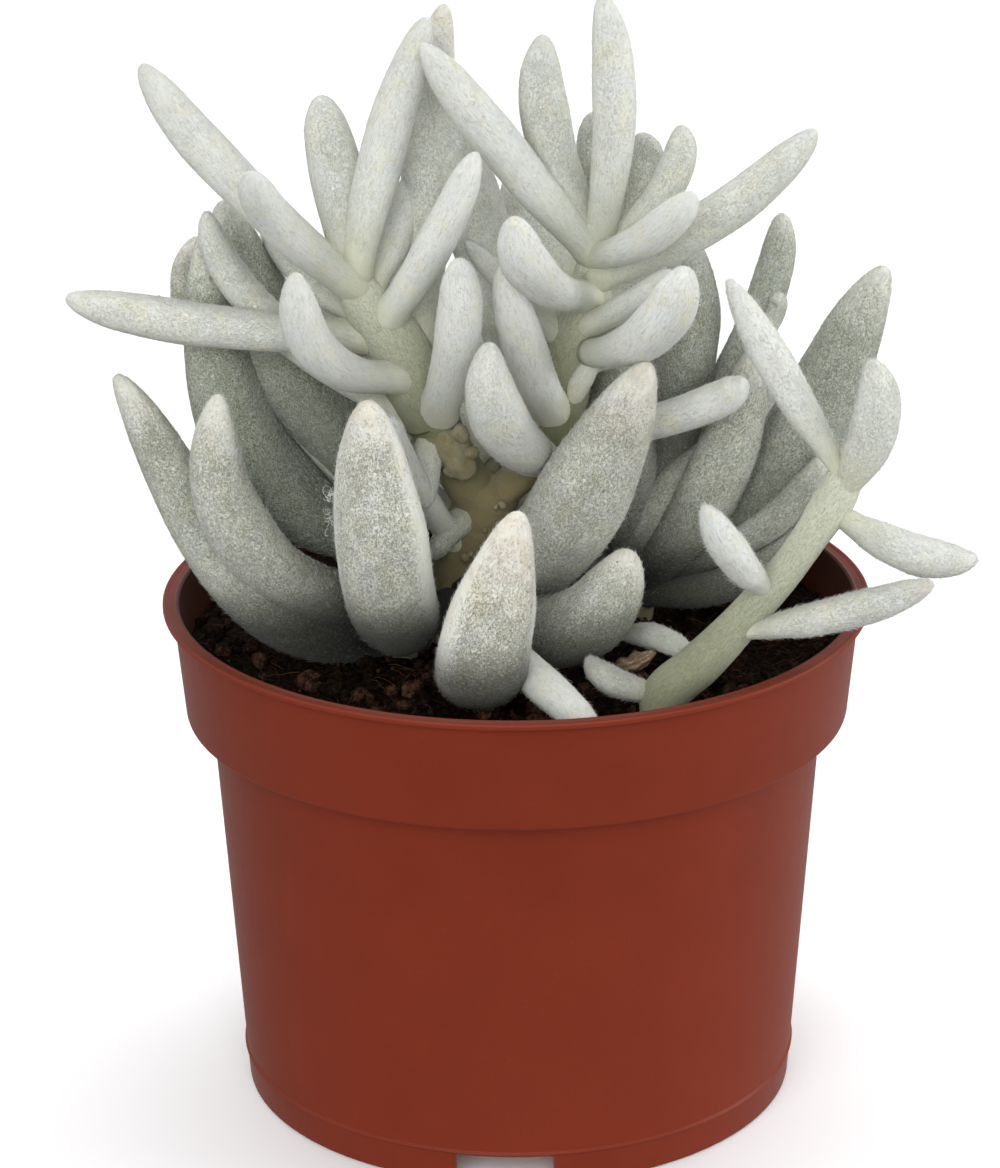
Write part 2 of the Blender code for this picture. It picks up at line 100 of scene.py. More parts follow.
# Leaves by stem: (height where the leaf leaves the stem, width, age, bare, blush, points on its path and last
# its tip). Age coarsens the felt, bare lets the green through it, and blush tints the tip.
LEAVES = {
    "left_branch": (
        (144.1, 8.7, 0.2, 0.15, 0.0, (-47.3, 3, 161.8), (-61.5, 8, 179.1)),
        (143.1, 7.5, 0.1, 0.05, 0.0, (-37.9, -14, 157.2), (-41.4, -24, 168.8)),
        (135.1, 8.8, 0.35, 0.2, 0.0, (-51, -6, 138.3), (-74, -8, 143.8)),
        (128.1, 8.2, 0.1, 0.05, 0.0, (-31, -18, 136.1), (-35, -26, 153.1)),
        (118.1, 7.4, 0.4, 0.4, 0.0, (-41, 1, 137.1), (-51, 2, 155.6)),
        (145.1, 8.8, 0.15, 0.15, 0.0, (-21.4, 1, 166.1), (-13.8, 2, 188.1)),
        (145.1, 8.7, 0.3, 0.3, 0.0, (-29.4, 6, 159.5), (-32.2, 10, 173.1)),
        (129.1, 8.4, 0.4, 0.3, 0.9, (-15.2, 5, 147.1), (-14, 11, 167.1), (-11.2, 16, 187.1)),
        (142.1, 5.7, 0.2, 0.2, 0.0, (-19.2, 5, 151.1), (-18.3, 8, 159.1)),
        (137.1, 7.7, 0.1, 0.0, 0.0, (-13.5, -10.5, 152.1), (-6, -12, 169.1)),
        (119.1, 7.8, 0.1, 0.05, 0.0, (-9.5, -16, 138.1), (-9, -18, 153.1)),
        (147.1, 2.6, 0.0, 0.3, 0.0, (-29, -5, 148.1), (-30, -7, 151.1)),
        (119.1, 4.6, 0.3, 0.5, 0.0, (-15, -8, 113.1), (-15, -10, 107.1)),
        (120.1, 5.6, 0.7, 0.5, 1.0, (-11, -5, 116.1), (-8, -7, 111.1)),
    ),
    "trunk": (
        (95.1, 6.2, 0.2, 0.05, 0.0, (-18.5, -12, 115.1), (-21, -14, 125.1)),
        (104.1, 4.5, 0.6, 0.6, 0.0, (-11, -4, 101.1), (-14, -4, 96.1)),
        (88.1, 19, 0.9, 0.3, 0.8, (3.5, -5, 96.6), (12.6, -13, 113.6), (21.8, -18, 135.1)),
        (87.1, 16, 1.0, 0.2, 0.8, (-6.5, -26, 85.7), (-5.5, -40, 92.6), (0.5, -42, 118.1)),
        (85.1, 15.6, 0.9, 0.45, 0.5, (8.6, -18, 88.8), (18.6, -20, 103.4)),
        (85.1, 6.8, 0.2, 0.1, 0.0, (2.5, -34, 86.6), (12.8, -50.3, 82.7)),
    ),
    "right_branch": (
        (119.1, 7.8, 0.1, 0.05, 0.0, (2.5, -9, 131.9), (-2, -16, 151.1)),
        (112.1, 10, 0.3, 0.2, 0.0, (1, -11, 118.1), (-3, -20, 127.1), (-4, -24, 140.6)),
        (131.1, 5.4, 0.2, 0.2, 0.0, (1, 2, 140.1), (-8, 2, 150.1)),
        (116.1, 12, 0.35, 0.35, 0.0, (-2.6, 5.5, 139.1), (-7.8, 10, 157.1), (-14, 11, 174.1)),
        (147.1, 9.6, 0.15, 0.1, 0.0, (-1, -2, 166.1), (-15, -4, 185.1)),
        (148.1, 9.7, 0.35, 0.4, 0.0, (6, 4, 167.1), (5.1, 6, 184.1)),
        (148.1, 7.1, 0.2, 0.15, 0.0, (16.5, -3, 172.1), (14.5, -2, 192.6)),
        (146.1, 6, 0.5, 0.7, 0.0, (13.2, 8, 158.6), (13.4, 12, 169.4)),
        (144.1, 6.7, 0.5, 0.7, 0.2, (21.5, 8, 157.6), (20.5, 12, 165.3)),
        (145.1, 7.2, 0.3, 0.45, 0.1, (25.2, 4, 158.1), (27.6, 6, 168.6)),
        (147.1, 7.5, 0.1, 0.05, 0.0, (22, -10, 154.1), (29, -16, 163.1)),
        (143.1, 9.1, 0.3, 0.35, 0.1, (33.4, -3, 155.5), (49.5, -4, 170.3)),
        (140.1, 8.5, 0.1, 0.05, 0.0, (3.5, -16, 149.1), (0, -22, 161.1)),
        (131.1, 9.6, 0.1, 0.05, 0.0, (22.5, -18, 140.6), (27.5, -22, 152.6)),
        (134.1, 5.9, 0.2, 0.2, 0.0, (21, -8, 143.1), (26, -10, 148.1)),
        (150.1, 2.2, 0.0, 0.3, 0.0, (13, 1, 151.6), (12, 0, 153.6)),
        (119.1, 3.7, 0.2, 0.3, 0.0, (11, -1, 126.1), (13, -2, 131.1)),
        (114.1, 7.6, 0.25, 0.1, 0.0, (29.5, -1, 121.1), (37.5, -3, 127.1)),
        (128.1, 7.4, 0.2, 0.2, 0.0, (21, 2, 132.3), (26.4, 0, 135.6)),
        (133.1, 7.6, 0.5, 0.7, 0.0, (18.8, 9.5, 137.6), (22.2, 13.5, 141.6)),
    ),
    "left_shoot": (
        (85.1, 15.8, 1.0, 0.15, 0.6, (-20.5, -19, 92.6), (-22.5, -27, 111.6), (-24, -26, 131.6)),
        (104.1, 15, 0.75, 0.9, 0.1, (-39.8, 9, 129.4), (-49, 14, 154.1)),
        (98.1, 15.6, 0.8, 0.9, 0.1, (-39, 0, 106.3), (-48.7, 2.5, 124.1), (-51.4, 8, 151.3)),
        (93.1, 7.2, 0.8, 0.5, 0.9, (-50.5, 9, 127.1), (-52.8, 13, 147.9)),
        (90.1, 13.2, 0.9, 0.35, 0.3, (-36, -14, 95.1), (-47, -21, 110.6), (-48, -24, 132.1)),
        (84.1, 13, 0.9, 0.45, 0.5, (-40, -14, 89.6), (-54, -14, 109.6), (-65.7, -14, 132.3)),
        (85.1, 6, 0.6, 0.4, 0.3, (-46.5, -4, 93.6), (-58.5, 0, 103.6)),
    ),
    "right_shoot": (
        (85.1, 13, 0.9, 0.55, 0.4, (33, 5, 105.1), (41, 8, 129.1)),
        (109.1, 8.3, 0.6, 0.8, 0.1, (41.4, 15, 132.1), (45.3, 14, 151.1)),
        (107.1, 3.8, 0.4, 0.5, 0.0, (42.5, 10, 131.1), (43.5, 8, 137.6)),
        (93.1, 17.4, 0.8, 0.75, 0.1, (43, 13, 103.1), (53.6, 14, 120.3), (63, 12, 142.1)),
        (88.1, 7, 0.8, 0.6, 0.1, (40, 5, 96.3), (53, 4, 112)),
        (84.1, 7.4, 0.8, 0.7, 0.1, (36, 4, 88.1), (49, 6, 97.1)),
        (87.1, 7, 0.6, 0.8, 0.0, (44, 15, 91.1), (52, 20, 95.1)),
        (91.1, 9.4, 0.8, 0.7, 0.0, (24, 10, 99.1), (35, 10, 112.1)),
        (98.1, 14, 0.8, 0.65, 0.0, (28.8, 14, 127.1), (29.3, 13, 147.1)),
        (89.1, 14, 0.8, 0.9, 0.0, (18, 11.6, 105.1), (17.4, 7.6, 132.6)),
    ),
    "side_shoot": (
        (119.1, 7.4, 0.2, 0.05, 0.0, (43, -29, 136.1), (34, -28, 152.1)),
        (115.1, 8.6, 0.3, 0.3, 0.0, (57.7, -32, 128.1), (56.5, -34, 140.2)),
        (114.1, 7.9, 0.3, 0.25, 0.0, (64, -31, 106.5), (75, -32, 105.8)),
        (93.1, 6.9, 0.4, 0.25, 0.8, (54, -38, 99.1), (67, -40, 104.6)),
        (100.1, 7, 0.1, 0.0, 0.0, (35, -38, 108.6), (30, -40, 118.1)),
        (88.1, 5, 0.4, 0.5, 0.0, (23.5, -16, 86.1), (17.5, -9, 83.6)),
        (82.6, 5.4, 0.5, 0.2, 0.1, (16, -31, 84.1), (12, -27, 87.1)),
    ),
    "back_shoot": (),
}

# Far-side leaves, which follow a rule: (stem, count, lowest and highest root, first and last compass
# heading in degrees from +X, lowest and highest rise in degrees, longest and shortest length, width)
FAR_SIDE = (
    ("back_shoot", 12, 86.1, 102.1, -5, 185, 10, 48, 38, 32, 8.4),
    ("right_shoot", 3, 91.1, 105.1, 35, 80, 12, 30, 36, 32, 8.0),
    ("left_shoot", 4, 89.1, 105.1, 110, 165, 12, 40, 36, 32, 8.0),
    ("left_branch", 4, 125.1, 139.1, 75, 145, 5, 20, 36, 32, 7.6),
    ("right_branch", 4, 127.1, 142.1, 65, 125, 5, 20, 36, 34, 7.8),
)
GOLDEN_STEP = 0.618
LENGTH_PLAY = 2.0
HEADING_PLAY = 5.0
FAR_SIDE_SAG = 0.08
# Age, bare and blush of a far-side leaf
FAR_SIDE_LOOK = (0.5, 0.45, 0.2)

# Stumps of old leaves, which are woody knobs: (stem, place in its rows)
KNOBS = (("left_branch", 13),)

# Leafy nodes: the stems that each one holds, and how many hairs stand on its leaves
PLANTS = {
    "main_plant": (("trunk", "left_branch", "right_branch"), 48000),
    "left_shoot": (("left_shoot",), 26000),
    "right_shoot": (("right_shoot",), 26000),
    "side_shoot": (("side_shoot",), 14000),
    "back_shoot": (("back_shoot",), 14000),
}

# Leaf form: share of the full half width at stations along the leaf, for narrow leaves, for wide ones and
# for the slender ones of the side shoot
LEAF_STATIONS = (0.0, 0.14, 0.34, 0.58, 0.80, 0.94, 1.0)
FINGER_SHAPE = (0.62, 0.76, 0.94, 1.0, 0.88, 0.54, 0.0)
LANCE_SHAPE = (0.50, 0.70, 0.94, 0.99, 0.76, 0.42, 0.0)
SPINDLE_SHAPE = (0.36, 0.60, 0.93, 1.0, 0.80, 0.44, 0.0)
# Leaves whose form is their own: (stem, place in its rows) and the shares at the same stations
OWN_SHAPES = {
    ("trunk", 3): (0.50, 0.64, 0.82, 0.94, 0.87, 0.52, 0.0),
    ("trunk", 4): (0.62, 0.84, 1.0, 1.0, 0.80, 0.46, 0.0),
}
# Leaves whose heel sits on the near side of the stem, and where its middle is
OWN_ROOTS = {("right_branch", 13): (13.2, -1.5, 131.6)}
FINGER_WIDTH = 8.0
LANCE_WIDTH = 14.0
FINGER_FLARE = 0.3
LANCE_FLARE = 0.1
FLARE_REACH = 1.4
LEAF_FLATNESS = 0.8
# Power of the rounded oval across a leaf: 2 is an ellipse, and more is squarer
LEAF_SQUARENESS = 2.25
# Relief across a leaf, in shares of its half width: the keel's height on a young leaf and what age adds, its
# play and its width, the hollow above it as a share of the keel, and the margins' bulge and width
KEEL_HEIGHT = (0.02, 0.05)
KEEL_PLAY = (-0.01, 0.03)
KEEL_WIDTH = 0.35
KEEL_HOLLOW = -0.6
MARGIN_BULGE = 0.02
MARGIN_WIDTH = 0.25
# Ribs along an old leaf: height in millimetres, and how many there are
RIB_HEIGHT = 0.05
RIB_COUNT = 7
# Slow swells: (share of the half width, radians along the leaf, waves round it, times the leaf's phase)
LEAF_SWELLS = ((0.018, 9, 2, 1), (0.014, 17, -1, 2))
PHASE_STEP = 2.4
LEAF_ROWS = 40
LEAF_COLUMNS = 24
TIP_CROWDING = 1.5
PATH_STEP = 0.005
KNOB_LUMP = 0.7
KNOB_LUMP_SIZE = 1.7

# Stem form: rings to a millimetre and round the stem, distance between leaf scars, their height as a share
# of the radius and their width as a share of that distance, the swell round the stem as a share of the radius,
# how far from the crown it rounds off, and how far a branch's foot is as old as the trunk
STEM_ROWS_PER_MM = 2.2
STEM_COLUMNS = 28
SCAR_SPACING = 5.2
SCAR_HEIGHT = 0.035
SCAR_WIDTH = 0.08
STEM_SWELL = 0.02
CROWN_REACH = 2.0
OLD_FOOT_REACH = 8.0
# Grain of old bark: (height, size, seed)
BARK_GRAINS = ((0.18, 1.6, 3), (0.1, 0.7, 4))

# Where the stem's tint fades out along a leaf, the height under which old leaves take soil and painted shade
# and how fast it fades out, the age up to which leaves take none, and what each step of age beyond it adds
ROOT_TINT_REACH = 2.2
SOIL_SHADE_TOP = 97.0
SOIL_SHADE_FADE = 8.0
SOIL_SHADE_START_AGE = 0.4
SOIL_SHADE_BY_AGE = 2.2

# Beads half sunk in the bark, (x, y, z, radius): pale buds on the trunk, then woody knobs under the left
# branch. Their lumps are as high as this share of the radius
BEAD_LUMP = 0.3
BARK_BEADS = (
    (-2.3, -5.6, 106.2, 0.7),
    (-3.4, -5.3, 105.6, 0.5),
    (-5.2, -5.0, 101.3, 0.45),
    (-8.6, -4.3, 96.4, 0.8),
    (-7.6, -4.4, 97.0, 0.5),
    (-9.2, -3.9, 91.5, 0.6),
    (-12.3, -5.9, 116.6, 1.6),
    (-9.2, -6.3, 119.0, 1.5),
    (-7.3, -6.3, 115.6, 1.3),
    (-10.9, -7.2, 112.9, 1.1),
)

# Tufts of loose hairs on the left edge of the left shoot's front leaf: (x, y, z, spread, count). Then least
# and most turn of a hair in radians, radius of its curl and thickness
CURL_TUFTS = ((-30.2, -22.5, 114.0, 0.7, 44), (-29.9, -23.0, 109.6, 0.6, 30))
CURL_TURN = (1.5, 5.0)
CURL_RADIUS = (0.35, 0.9)
CURL_THICKNESS = (0.03, 0.05)

# Felt hairs: least and most length and thickness, where on the leaf they start and how much of it they
# cover, how far they lean towards the tip, stray to the side and lift, and the play of that
HAIR_LENGTH = (0.45, 1.15)
HAIR_THICKNESS = (0.022, 0.036)
HAIR_START = 0.1
HAIR_REACH = 0.895
HAIR_LEAN = 0.8
HAIR_STRAY = 0.55
HAIR_LIFT = 0.45
HAIR_LIFT_PLAY = (0.3, 1.3)
HAIR_ROOT_DEPTH = 0.03

# Pot: a tapered wall with a collar and a flat lip, on a notched foot ring
POT_HEIGHT = 88.5
LIP_RADIUS = 60.3
LIP_THICKNESS = 0.9
COLLAR_TOP_RADIUS = 58.6
COLLAR_FOOT_RADIUS = 56.8
COLLAR_FOOT_HEIGHT = 68.8
WALL_TOP_RADIUS = 52.5
WALL_FOOT_RADIUS = 47.7
WALL_THICKNESS = 1.2
RIDGE_HEIGHT = 5.9
RIDGE_DEPTH = 0.4
BASE_UNDERSIDE = 5.6
BASE_THICKNESS = 1.3
LEDGE_TOP = COLLAR_FOOT_HEIGHT + WALL_THICKNESS
BASE_TOP = BASE_UNDERSIDE + BASE_THICKNESS
# The lip's top: an outer ridge with its crest near the rim, a groove, and an inner ridge
OUTER_CREST = 0.35
OUTER_RIDGE_WIDTH = 0.85
GROOVE_DEPTH = 0.3
INNER_RIDGE_WIDTH = 0.9
INNER_EDGE_DROP = 0.25
RIM_DROP = 0.12
NOTCH_WIDTH = 16.6
NOTCH_HEIGHT = 5.2
NOTCH_COUNT = 3
# Radians about the axis, from +X to the middle of the notch at the front, and half of its steep side
FIRST_NOTCH_TURN = -1.626
NOTCH_SIDE = 0.001
DRAIN_RADIUS = 5.0
DRAIN_RING_RADIUS = 29.0
DRAIN_COUNT = 6
DRAIN_COLUMNS = 48
POT_COLUMNS = 252
SHARP_ANGLE = math.radians(32)

# Peat: a lumpy top in a smooth plug, with crumbs and fibres on it. A swell is (share, turn by x, turn by y,
# start), and a grain is (share, size, seed)
SOIL_TOP = 79.7
SOIL_LUMP = 0.7
SOIL_SWELLS = ((0.6, 0.12, 0.10, 0.7), (0.4, 0.23, -0.19, 0.0))
SOIL_GRAINS = ((0.55, 5.0, 11), (0.5, 2.3, 12), (0.3, 1.1, 13))
FINE_GRAIN = (0.14, 0.5, 14)
GRAIN_HEIGHT = 1.5
GRAIN_SINK = 0.6
SOIL_RADIUS = 56.1
SOIL_SIDE_GAP = 0.6
SOIL_FLOOR_GAP = 0.3
SOIL_RINGS = 110
SOIL_COLUMNS = 260
# Litter on the peat: the share of its radius that crumbs and fibres lie in, how far they stand off it, how
# many there are, and their form
CRUMB_DISC = 0.985
FIBRE_DISC = 0.97
LITTER_LIFT = 0.15
CRUMB_COUNT = 1050
CRUMB_LEAST = 0.4
CRUMB_SPREAD = 1.9
CRUMB_LUMP = 0.38
CRUMB_LUMP_SIZE = 0.7
FIBRE_COUNT = 230
FIBRE_LENGTH = (2, 9)
FIBRE_BEND = 1.2
FIBRE_ARCH = 0.9
FIBRE_THICKNESS = (0.04, 0.10)

DRY_LEAF_PATH = ((16, -21, 82.1), (19.5, -21.5, 83.6), (23, -22, 85.6))
DRY_LEAF_HALF_WIDTH = 2.2
DRY_LEAF_FLATNESS = 0.55
# Wrinkles and pleats of the dry leaf: (height as a share, turns round it, radians along it). Then how far its
# edges roll up
DRY_LEAF_WRINKLES = ((0.2, 5, 5), (0.12, 9, -12))
DRY_LEAF_PLEATS = (0.12, 2, 17)
DRY_LEAF_ROLL = 0.25

# Studio, in metres: a floor that sweeps up into a wall
FLOOR_FRONT = -1.6
BEND_START = 0.9
BEND_RADIUS = 0.5
WALL_TOP = 2.6
SWEEP_HALF_WIDTH = 2.0
FLOOR_DROP = 0.0002
# Soft boxes: name, place, aim, size and watts
LIGHTS = (
    ("key_softbox", (-0.25, -1.45, 0.7), (0, 0, 0.12), (1.5, 1.1), 21.5),
    ("left_softbox", (-1.2, -0.2, 0.15), (0, 0, 0.06), (0.7, 0.8), 2.0),
    ("right_softbox", (1.2, 0.0, 0.15), (0, 0, 0.06), (0.8, 0.8), 13.0),
    ("wall_wash", (0.0, 0.7, 1.9), (0.0, 1.4, 0.4), (2.2, 0.4), 30.0),
)
# Light from all round: (lowest and highest slope of view, strength at each), first from below the horizon to
# above it, then what is taken off towards the crown, and what is added to the right
HORIZON_LIGHT = (-0.3, 0.3, 0.42, 0.80)
CROWN_LIGHT = (0.3, 1.0, 0.0, -0.30)
RIGHT_LIGHT = 0.08
AIR_COLOUR = (0.97, 0.98, 1.0, 1.0)

# Camera: measured from the pot's rim, wall and foot in the photograph
CAMERA_TARGET = (-2.73, 0.0, 89.83)
CAMERA_DISTANCE = 741.6
CAMERA_RISE = math.radians(20.61)
CAMERA_ROLL = math.radians(-0.41)
FOCAL_PIXELS = 4341.0
LONG_SIDE_PIXELS = 1168.0
SENSOR_WIDTH = 36.0


# Shape tools


def smooth_through(x, stations, values):
    """A smooth curve through the stations with no overshoot: cubic pieces whose slopes at each station
    are the harmonic mean of the slopes beside it, and none where those differ in sign."""
    s = np.asarray(stations, float)
    v = np.asarray(values, float)
    v = v.reshape(len(s), -1)
    rise = np.diff(v, axis=0) / np.diff(s)[:, None]
    before, after = rise[:-1], rise[1:]
    product = before * after
    inner = np.where(product > 0, 2 * product / np.where(product > 0, before + after, 1), 0)
    slope = np.vstack([rise[:1], inner, rise[-1:]])
    x = np.clip(np.asarray(x, float), s[0], s[-1])
    k = np.clip(np.searchsorted(s, x, side="right") - 1, 0, len(s) - 2)
    step = (s[k + 1] - s[k])[..., None]
    t = (x - s[k])[..., None] / step
    low = (1 + 2 * t) * (1 - t) ** 2 * v[k] + t * (1 - t) ** 2 * step * slope[k]
    high = t * t * (3 - 2 * t) * v[k + 1] + t * t * (t - 1) * step * slope[k + 1]
    return low + high


def through_points(points, t):
    """The curve that passes the points at even steps of t: each point times a weight that is one at its own
    step and none at the others'."""
    last = len(points) - 1
    t = np.asarray(t, float)
    total = np.zeros(t.shape + (3,))
    for k, point in enumerate(points):
        weight = np.ones(t.shape)
        for other in range(last + 1):
            if other != k:
                weight = weight * (t * last - other) / (k - other)
        total += weight[..., None] * point
    return total


def unit(vectors):
    """Each vector, cut or stretched to length one."""
    return vectors / np.maximum(np.linalg.norm(vectors, axis=-1, keepdims=True), 1e-12)


def round_angles(count):
    """Even angles once round, in radians."""
    return 2 * np.pi * np.arange(count) / count


def carried(line, side, over, across, up):
    """Rings carried along a line: from each of its points, this far to the side and this far over it."""
    return line[:, None] + side[:, None] * across[..., None] + over[:, None] * up[..., None]


def lay_strand(piece, line, side, over, thin, sides, length, **values):
    """A thread of this thickness and number of sides along a line, closed by a point at each end."""
    a = round_angles(sides)[None, :]
    grid = carried(line, side, over, thin * np.cos(a), thin * np.sin(a))
    piece.add_tube(grid, line[0], line[-1], 1.0, np.linspace(0, length, len(line)), **values)


def level_frame(line):
    """Directions at each point of a line: along it, level to its side, and over it."""
    along = unit(np.gradient(line, axis=0))
    side = unit(np.cross(along, (0, 0, 1.0)))
    return along, side, np.cross(side, along)


def ball_rings(rows, columns, margin):
    """Level rings of a ball of radius one, without the caps within this share of a half turn of its poles,
    and the angle of each ring from the upper pole."""
    t = np.linspace(margin, 1 - margin, rows)[:, None] * math.pi
    a = round_angles(columns)[None, :]
    return np.stack([np.sin(t) * np.cos(a), np.sin(t) * np.sin(a), np.cos(t) + 0 * a], -1), t[:, 0]


# Large numbers that scatter a hash, one for each axis, one for the seed and one for the last mixing
AXIS_HASH = (73856093, 19349663, 83492791)
SEED_HASH = 2654435761
LAST_HASH = 1274126177
LATTICE_SHIFT = 1000.0


def cell_noise(points, size, seed):
    """Smooth noise from -1 to 1: a value for each corner of a lattice of cubes of this size, from a hash
    of the corner's whole numbers, and smooth steps between the corners."""
    q = np.asarray(points, float) / size + LATTICE_SHIFT
    corner = np.floor(q).astype(np.int64)
    f = q - corner
    f = f * f * (3 - 2 * f)
    total = np.zeros(q.shape[:-1])
    for step in itertools.product((0, 1), repeat=3):
        x, y, z = np.moveaxis((corner + step) * AXIS_HASH, -1, 0)
        h = (x ^ y ^ z) + seed * SEED_HASH
        h = ((h ^ (h >> 13)) & 0xFFFFFFFF) * LAST_HASH & 0xFFFFFFFF
        h = (h ^ (h >> 16)) & 0xFFFF
        total += np.abs(1 - np.array(step) - f).prod(axis=-1) * (h / 32767.5 - 1)
    return total


class Piece:
    """Closed shells that are gathered into one mesh: points, faces, corner UVs in millimetres and named
    values at the points."""

    def __init__(self):
        self.points = []
        self.corners = []
        self.sizes = []
        self.uvs = []
        self.values = {}
        self.paints = []
        self.count = 0

    def add(self, points, faces, uvs, paint=0, **values):
        """One closed shell. faces and uvs are lists of (n, k) and (n, k, 2) arrays. If the shell holds less
        than no volume, its faces are turned round."""
        volume = 0.0
        for f in faces:
            for k in range(1, f.shape[1] - 1):
                a, b, c = points[f[:, 0]], points[f[:, k]], points[f[:, k + 1]]
                volume += np.einsum("ij,ij->", a, np.cross(b, c))
        for f, uv in zip(faces, uvs):
            if volume < 0:
                f, uv = f[:, ::-1], uv[:, ::-1]
            self.corners.append((f + self.count).ravel())
            self.sizes.append(np.full(len(f), f.shape[1]))
            self.uvs.append(uv.reshape(-1, 2))
            self.paints.append(np.full(len(f), paint))
        self.points.append(points)
        for name, value in values.items():
            value = np.broadcast_to(np.asarray(value, float), (len(points),))
            self.values.setdefault(name, []).append(value)
        self.count += len(points)

    def add_tube(self, grid, start, end, u, v, paint=0, **values):
        """A shell from a (rows, columns) grid of rings, closed by a point before the first ring and one after
        the last. u is the width of the wrapped surface, v the distance along it at each row."""
        cap = 0.3
        rows, columns = grid.shape[:2]
        points = np.concatenate([grid.reshape(-1, 3), [start, end]])
        i, j = (k.ravel() for k in np.meshgrid(np.arange(rows - 1), np.arange(columns), indexing="ij"))
        k = (j + 1) % columns
        quads = np.stack([i * columns + j, i * columns + k, (i + 1) * columns + k, (i + 1) * columns + j], 1)
        quad_u = np.stack([j, j + 1, j + 1, j], 1) / columns * u
        quad_uv = np.stack([quad_u, v[np.stack([i, i, i + 1, i + 1], 1)]], -1)
        j = np.arange(columns)
        k = (j + 1) % columns
        first, last = np.full(columns, rows * columns), (rows - 1) * columns
        fans = np.concatenate([np.stack([k, j, first], 1), np.stack([last + j, last + k, first + 1], 1)])
        fan_u = np.concatenate([np.stack([j + 1, j, j + 0.5], 1), np.stack([j, j + 1, j + 0.5], 1)])
        fan_v = np.repeat([[v[0], v[0], v[0] - cap], [v[-1], v[-1], v[-1] + cap]], columns, axis=0)
        fan_uv = np.stack([fan_u / columns * u, fan_v], -1)
        spread = {}
        for name, value in values.items():
            value = np.broadcast_to(np.asarray(value, float), (rows, columns))
            spread[name] = np.concatenate([value.ravel(), [value[0].mean(), value[-1].mean()]])
        self.add(points, [quads, fans], [quad_uv, fan_uv], paint, **spread)

    def make(self, name, slot, replaced, materials):
        """The mesh of all shells, in metres, as an object on the root body."""
        mesh = bpy.data.meshes.new(name)
        points = np.concatenate(self.points) * MM
        corners = np.concatenate(self.corners).astype(np.int32)
        sizes = np.concatenate(self.sizes)
        mesh.vertices.add(len(points))
        mesh.vertices.foreach_set("co", points.astype(np.float32).ravel())
        mesh.loops.add(len(corners))
        mesh.loops.foreach_set("vertex_index", corners)
        mesh.polygons.add(len(sizes))
        mesh.polygons.foreach_set("loop_start", np.concatenate([[0], np.cumsum(sizes)[:-1]]).astype(np.int32))
        mesh.update(calc_edges=True)
        layer = mesh.uv_layers.new(name="surface")
        layer.data.foreach_set("uv", np.concatenate(self.uvs).astype(np.float32).ravel())
        mesh.polygons.foreach_set("material_index", np.concatenate(self.paints).astype(np.int32))
        mesh.polygons.foreach_set("use_smooth", np.ones(len(sizes), bool))
        for key, parts in self.values.items():
            attribute = mesh.attributes.new(key, "FLOAT", "POINT")
            attribute.data.foreach_set("value", np.concatenate(parts).astype(np.float32))
        mesh.validate()
        for material in materials:
            mesh.materials.append(material)
        piece = bpy.data.objects.new(name, mesh)
        bpy.context.scene.collection.objects.link(piece)
        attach(piece, "root")
        if replaced:
            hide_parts(*replaced)
        return piece


# Leaves and stems


def stem_point(stem, height):
    """The centre of the stem at this height, on straight lines between its path points."""
    path = np.array(STEMS[stem], float)
    return np.array([np.interp(height, path[:, 2], path[:, k]) for k in (0, 1, 2)])


def far_side_leaves(stem):
    """Rows like those of LEAVES: roots climb the stem by even steps, headings go round by golden steps."""
    rows = []
    for name, count, low, high, first, last, low_rise, high_rise, long, short, width in FAR_SIDE:
        if name != stem:
            continue
        draw = random.Random(name)
        for k in range(count):
            up = k / (count - 1)
            turn = (k * GOLDEN_STEP) % 1.0
            play = draw.uniform(-HEADING_PLAY, HEADING_PLAY)
            heading = math.radians(first + (last - first) * turn + play)
            rise = math.radians(low_rise + (high_rise - low_rise) * up)
            length = long + (short - long) * up + draw.uniform(-LENGTH_PLAY, LENGTH_PLAY)
            height = low + (high - low) * up
            level = math.cos(rise)
            aim = np.array([math.cos(heading) * level, math.sin(heading) * level, math.sin(rise)])
            root = stem_point(stem, height)
            tip = root + aim * length
            middle = (root + tip) / 2 - np.array([0, 0, length * FAR_SIDE_SAG])
            rows.append((height, width, *FAR_SIDE_LOOK, middle, tip))
    return rows


def outside_stem(points, stem):
    """Millimetres from each point to the stem's surface, less than none inside it: the least distance to any
    straight length of its path, with the radius that the path has there taken off."""
    path = np.array(STEMS[stem], float)
    least = np.full(points.shape[:-1], np.inf)
    for a, b in zip(path[:-1], path[1:]):
        line = b[:3] - a[:3]
        share = np.clip((points - a[:3]) @ line / (line @ line), 0, 1)
        away = np.linalg.norm(points - a[:3] - share[..., None] * line, axis=-1)
        least = np.minimum(least, away - a[3] - share * (b[3] - a[3]))
    return least


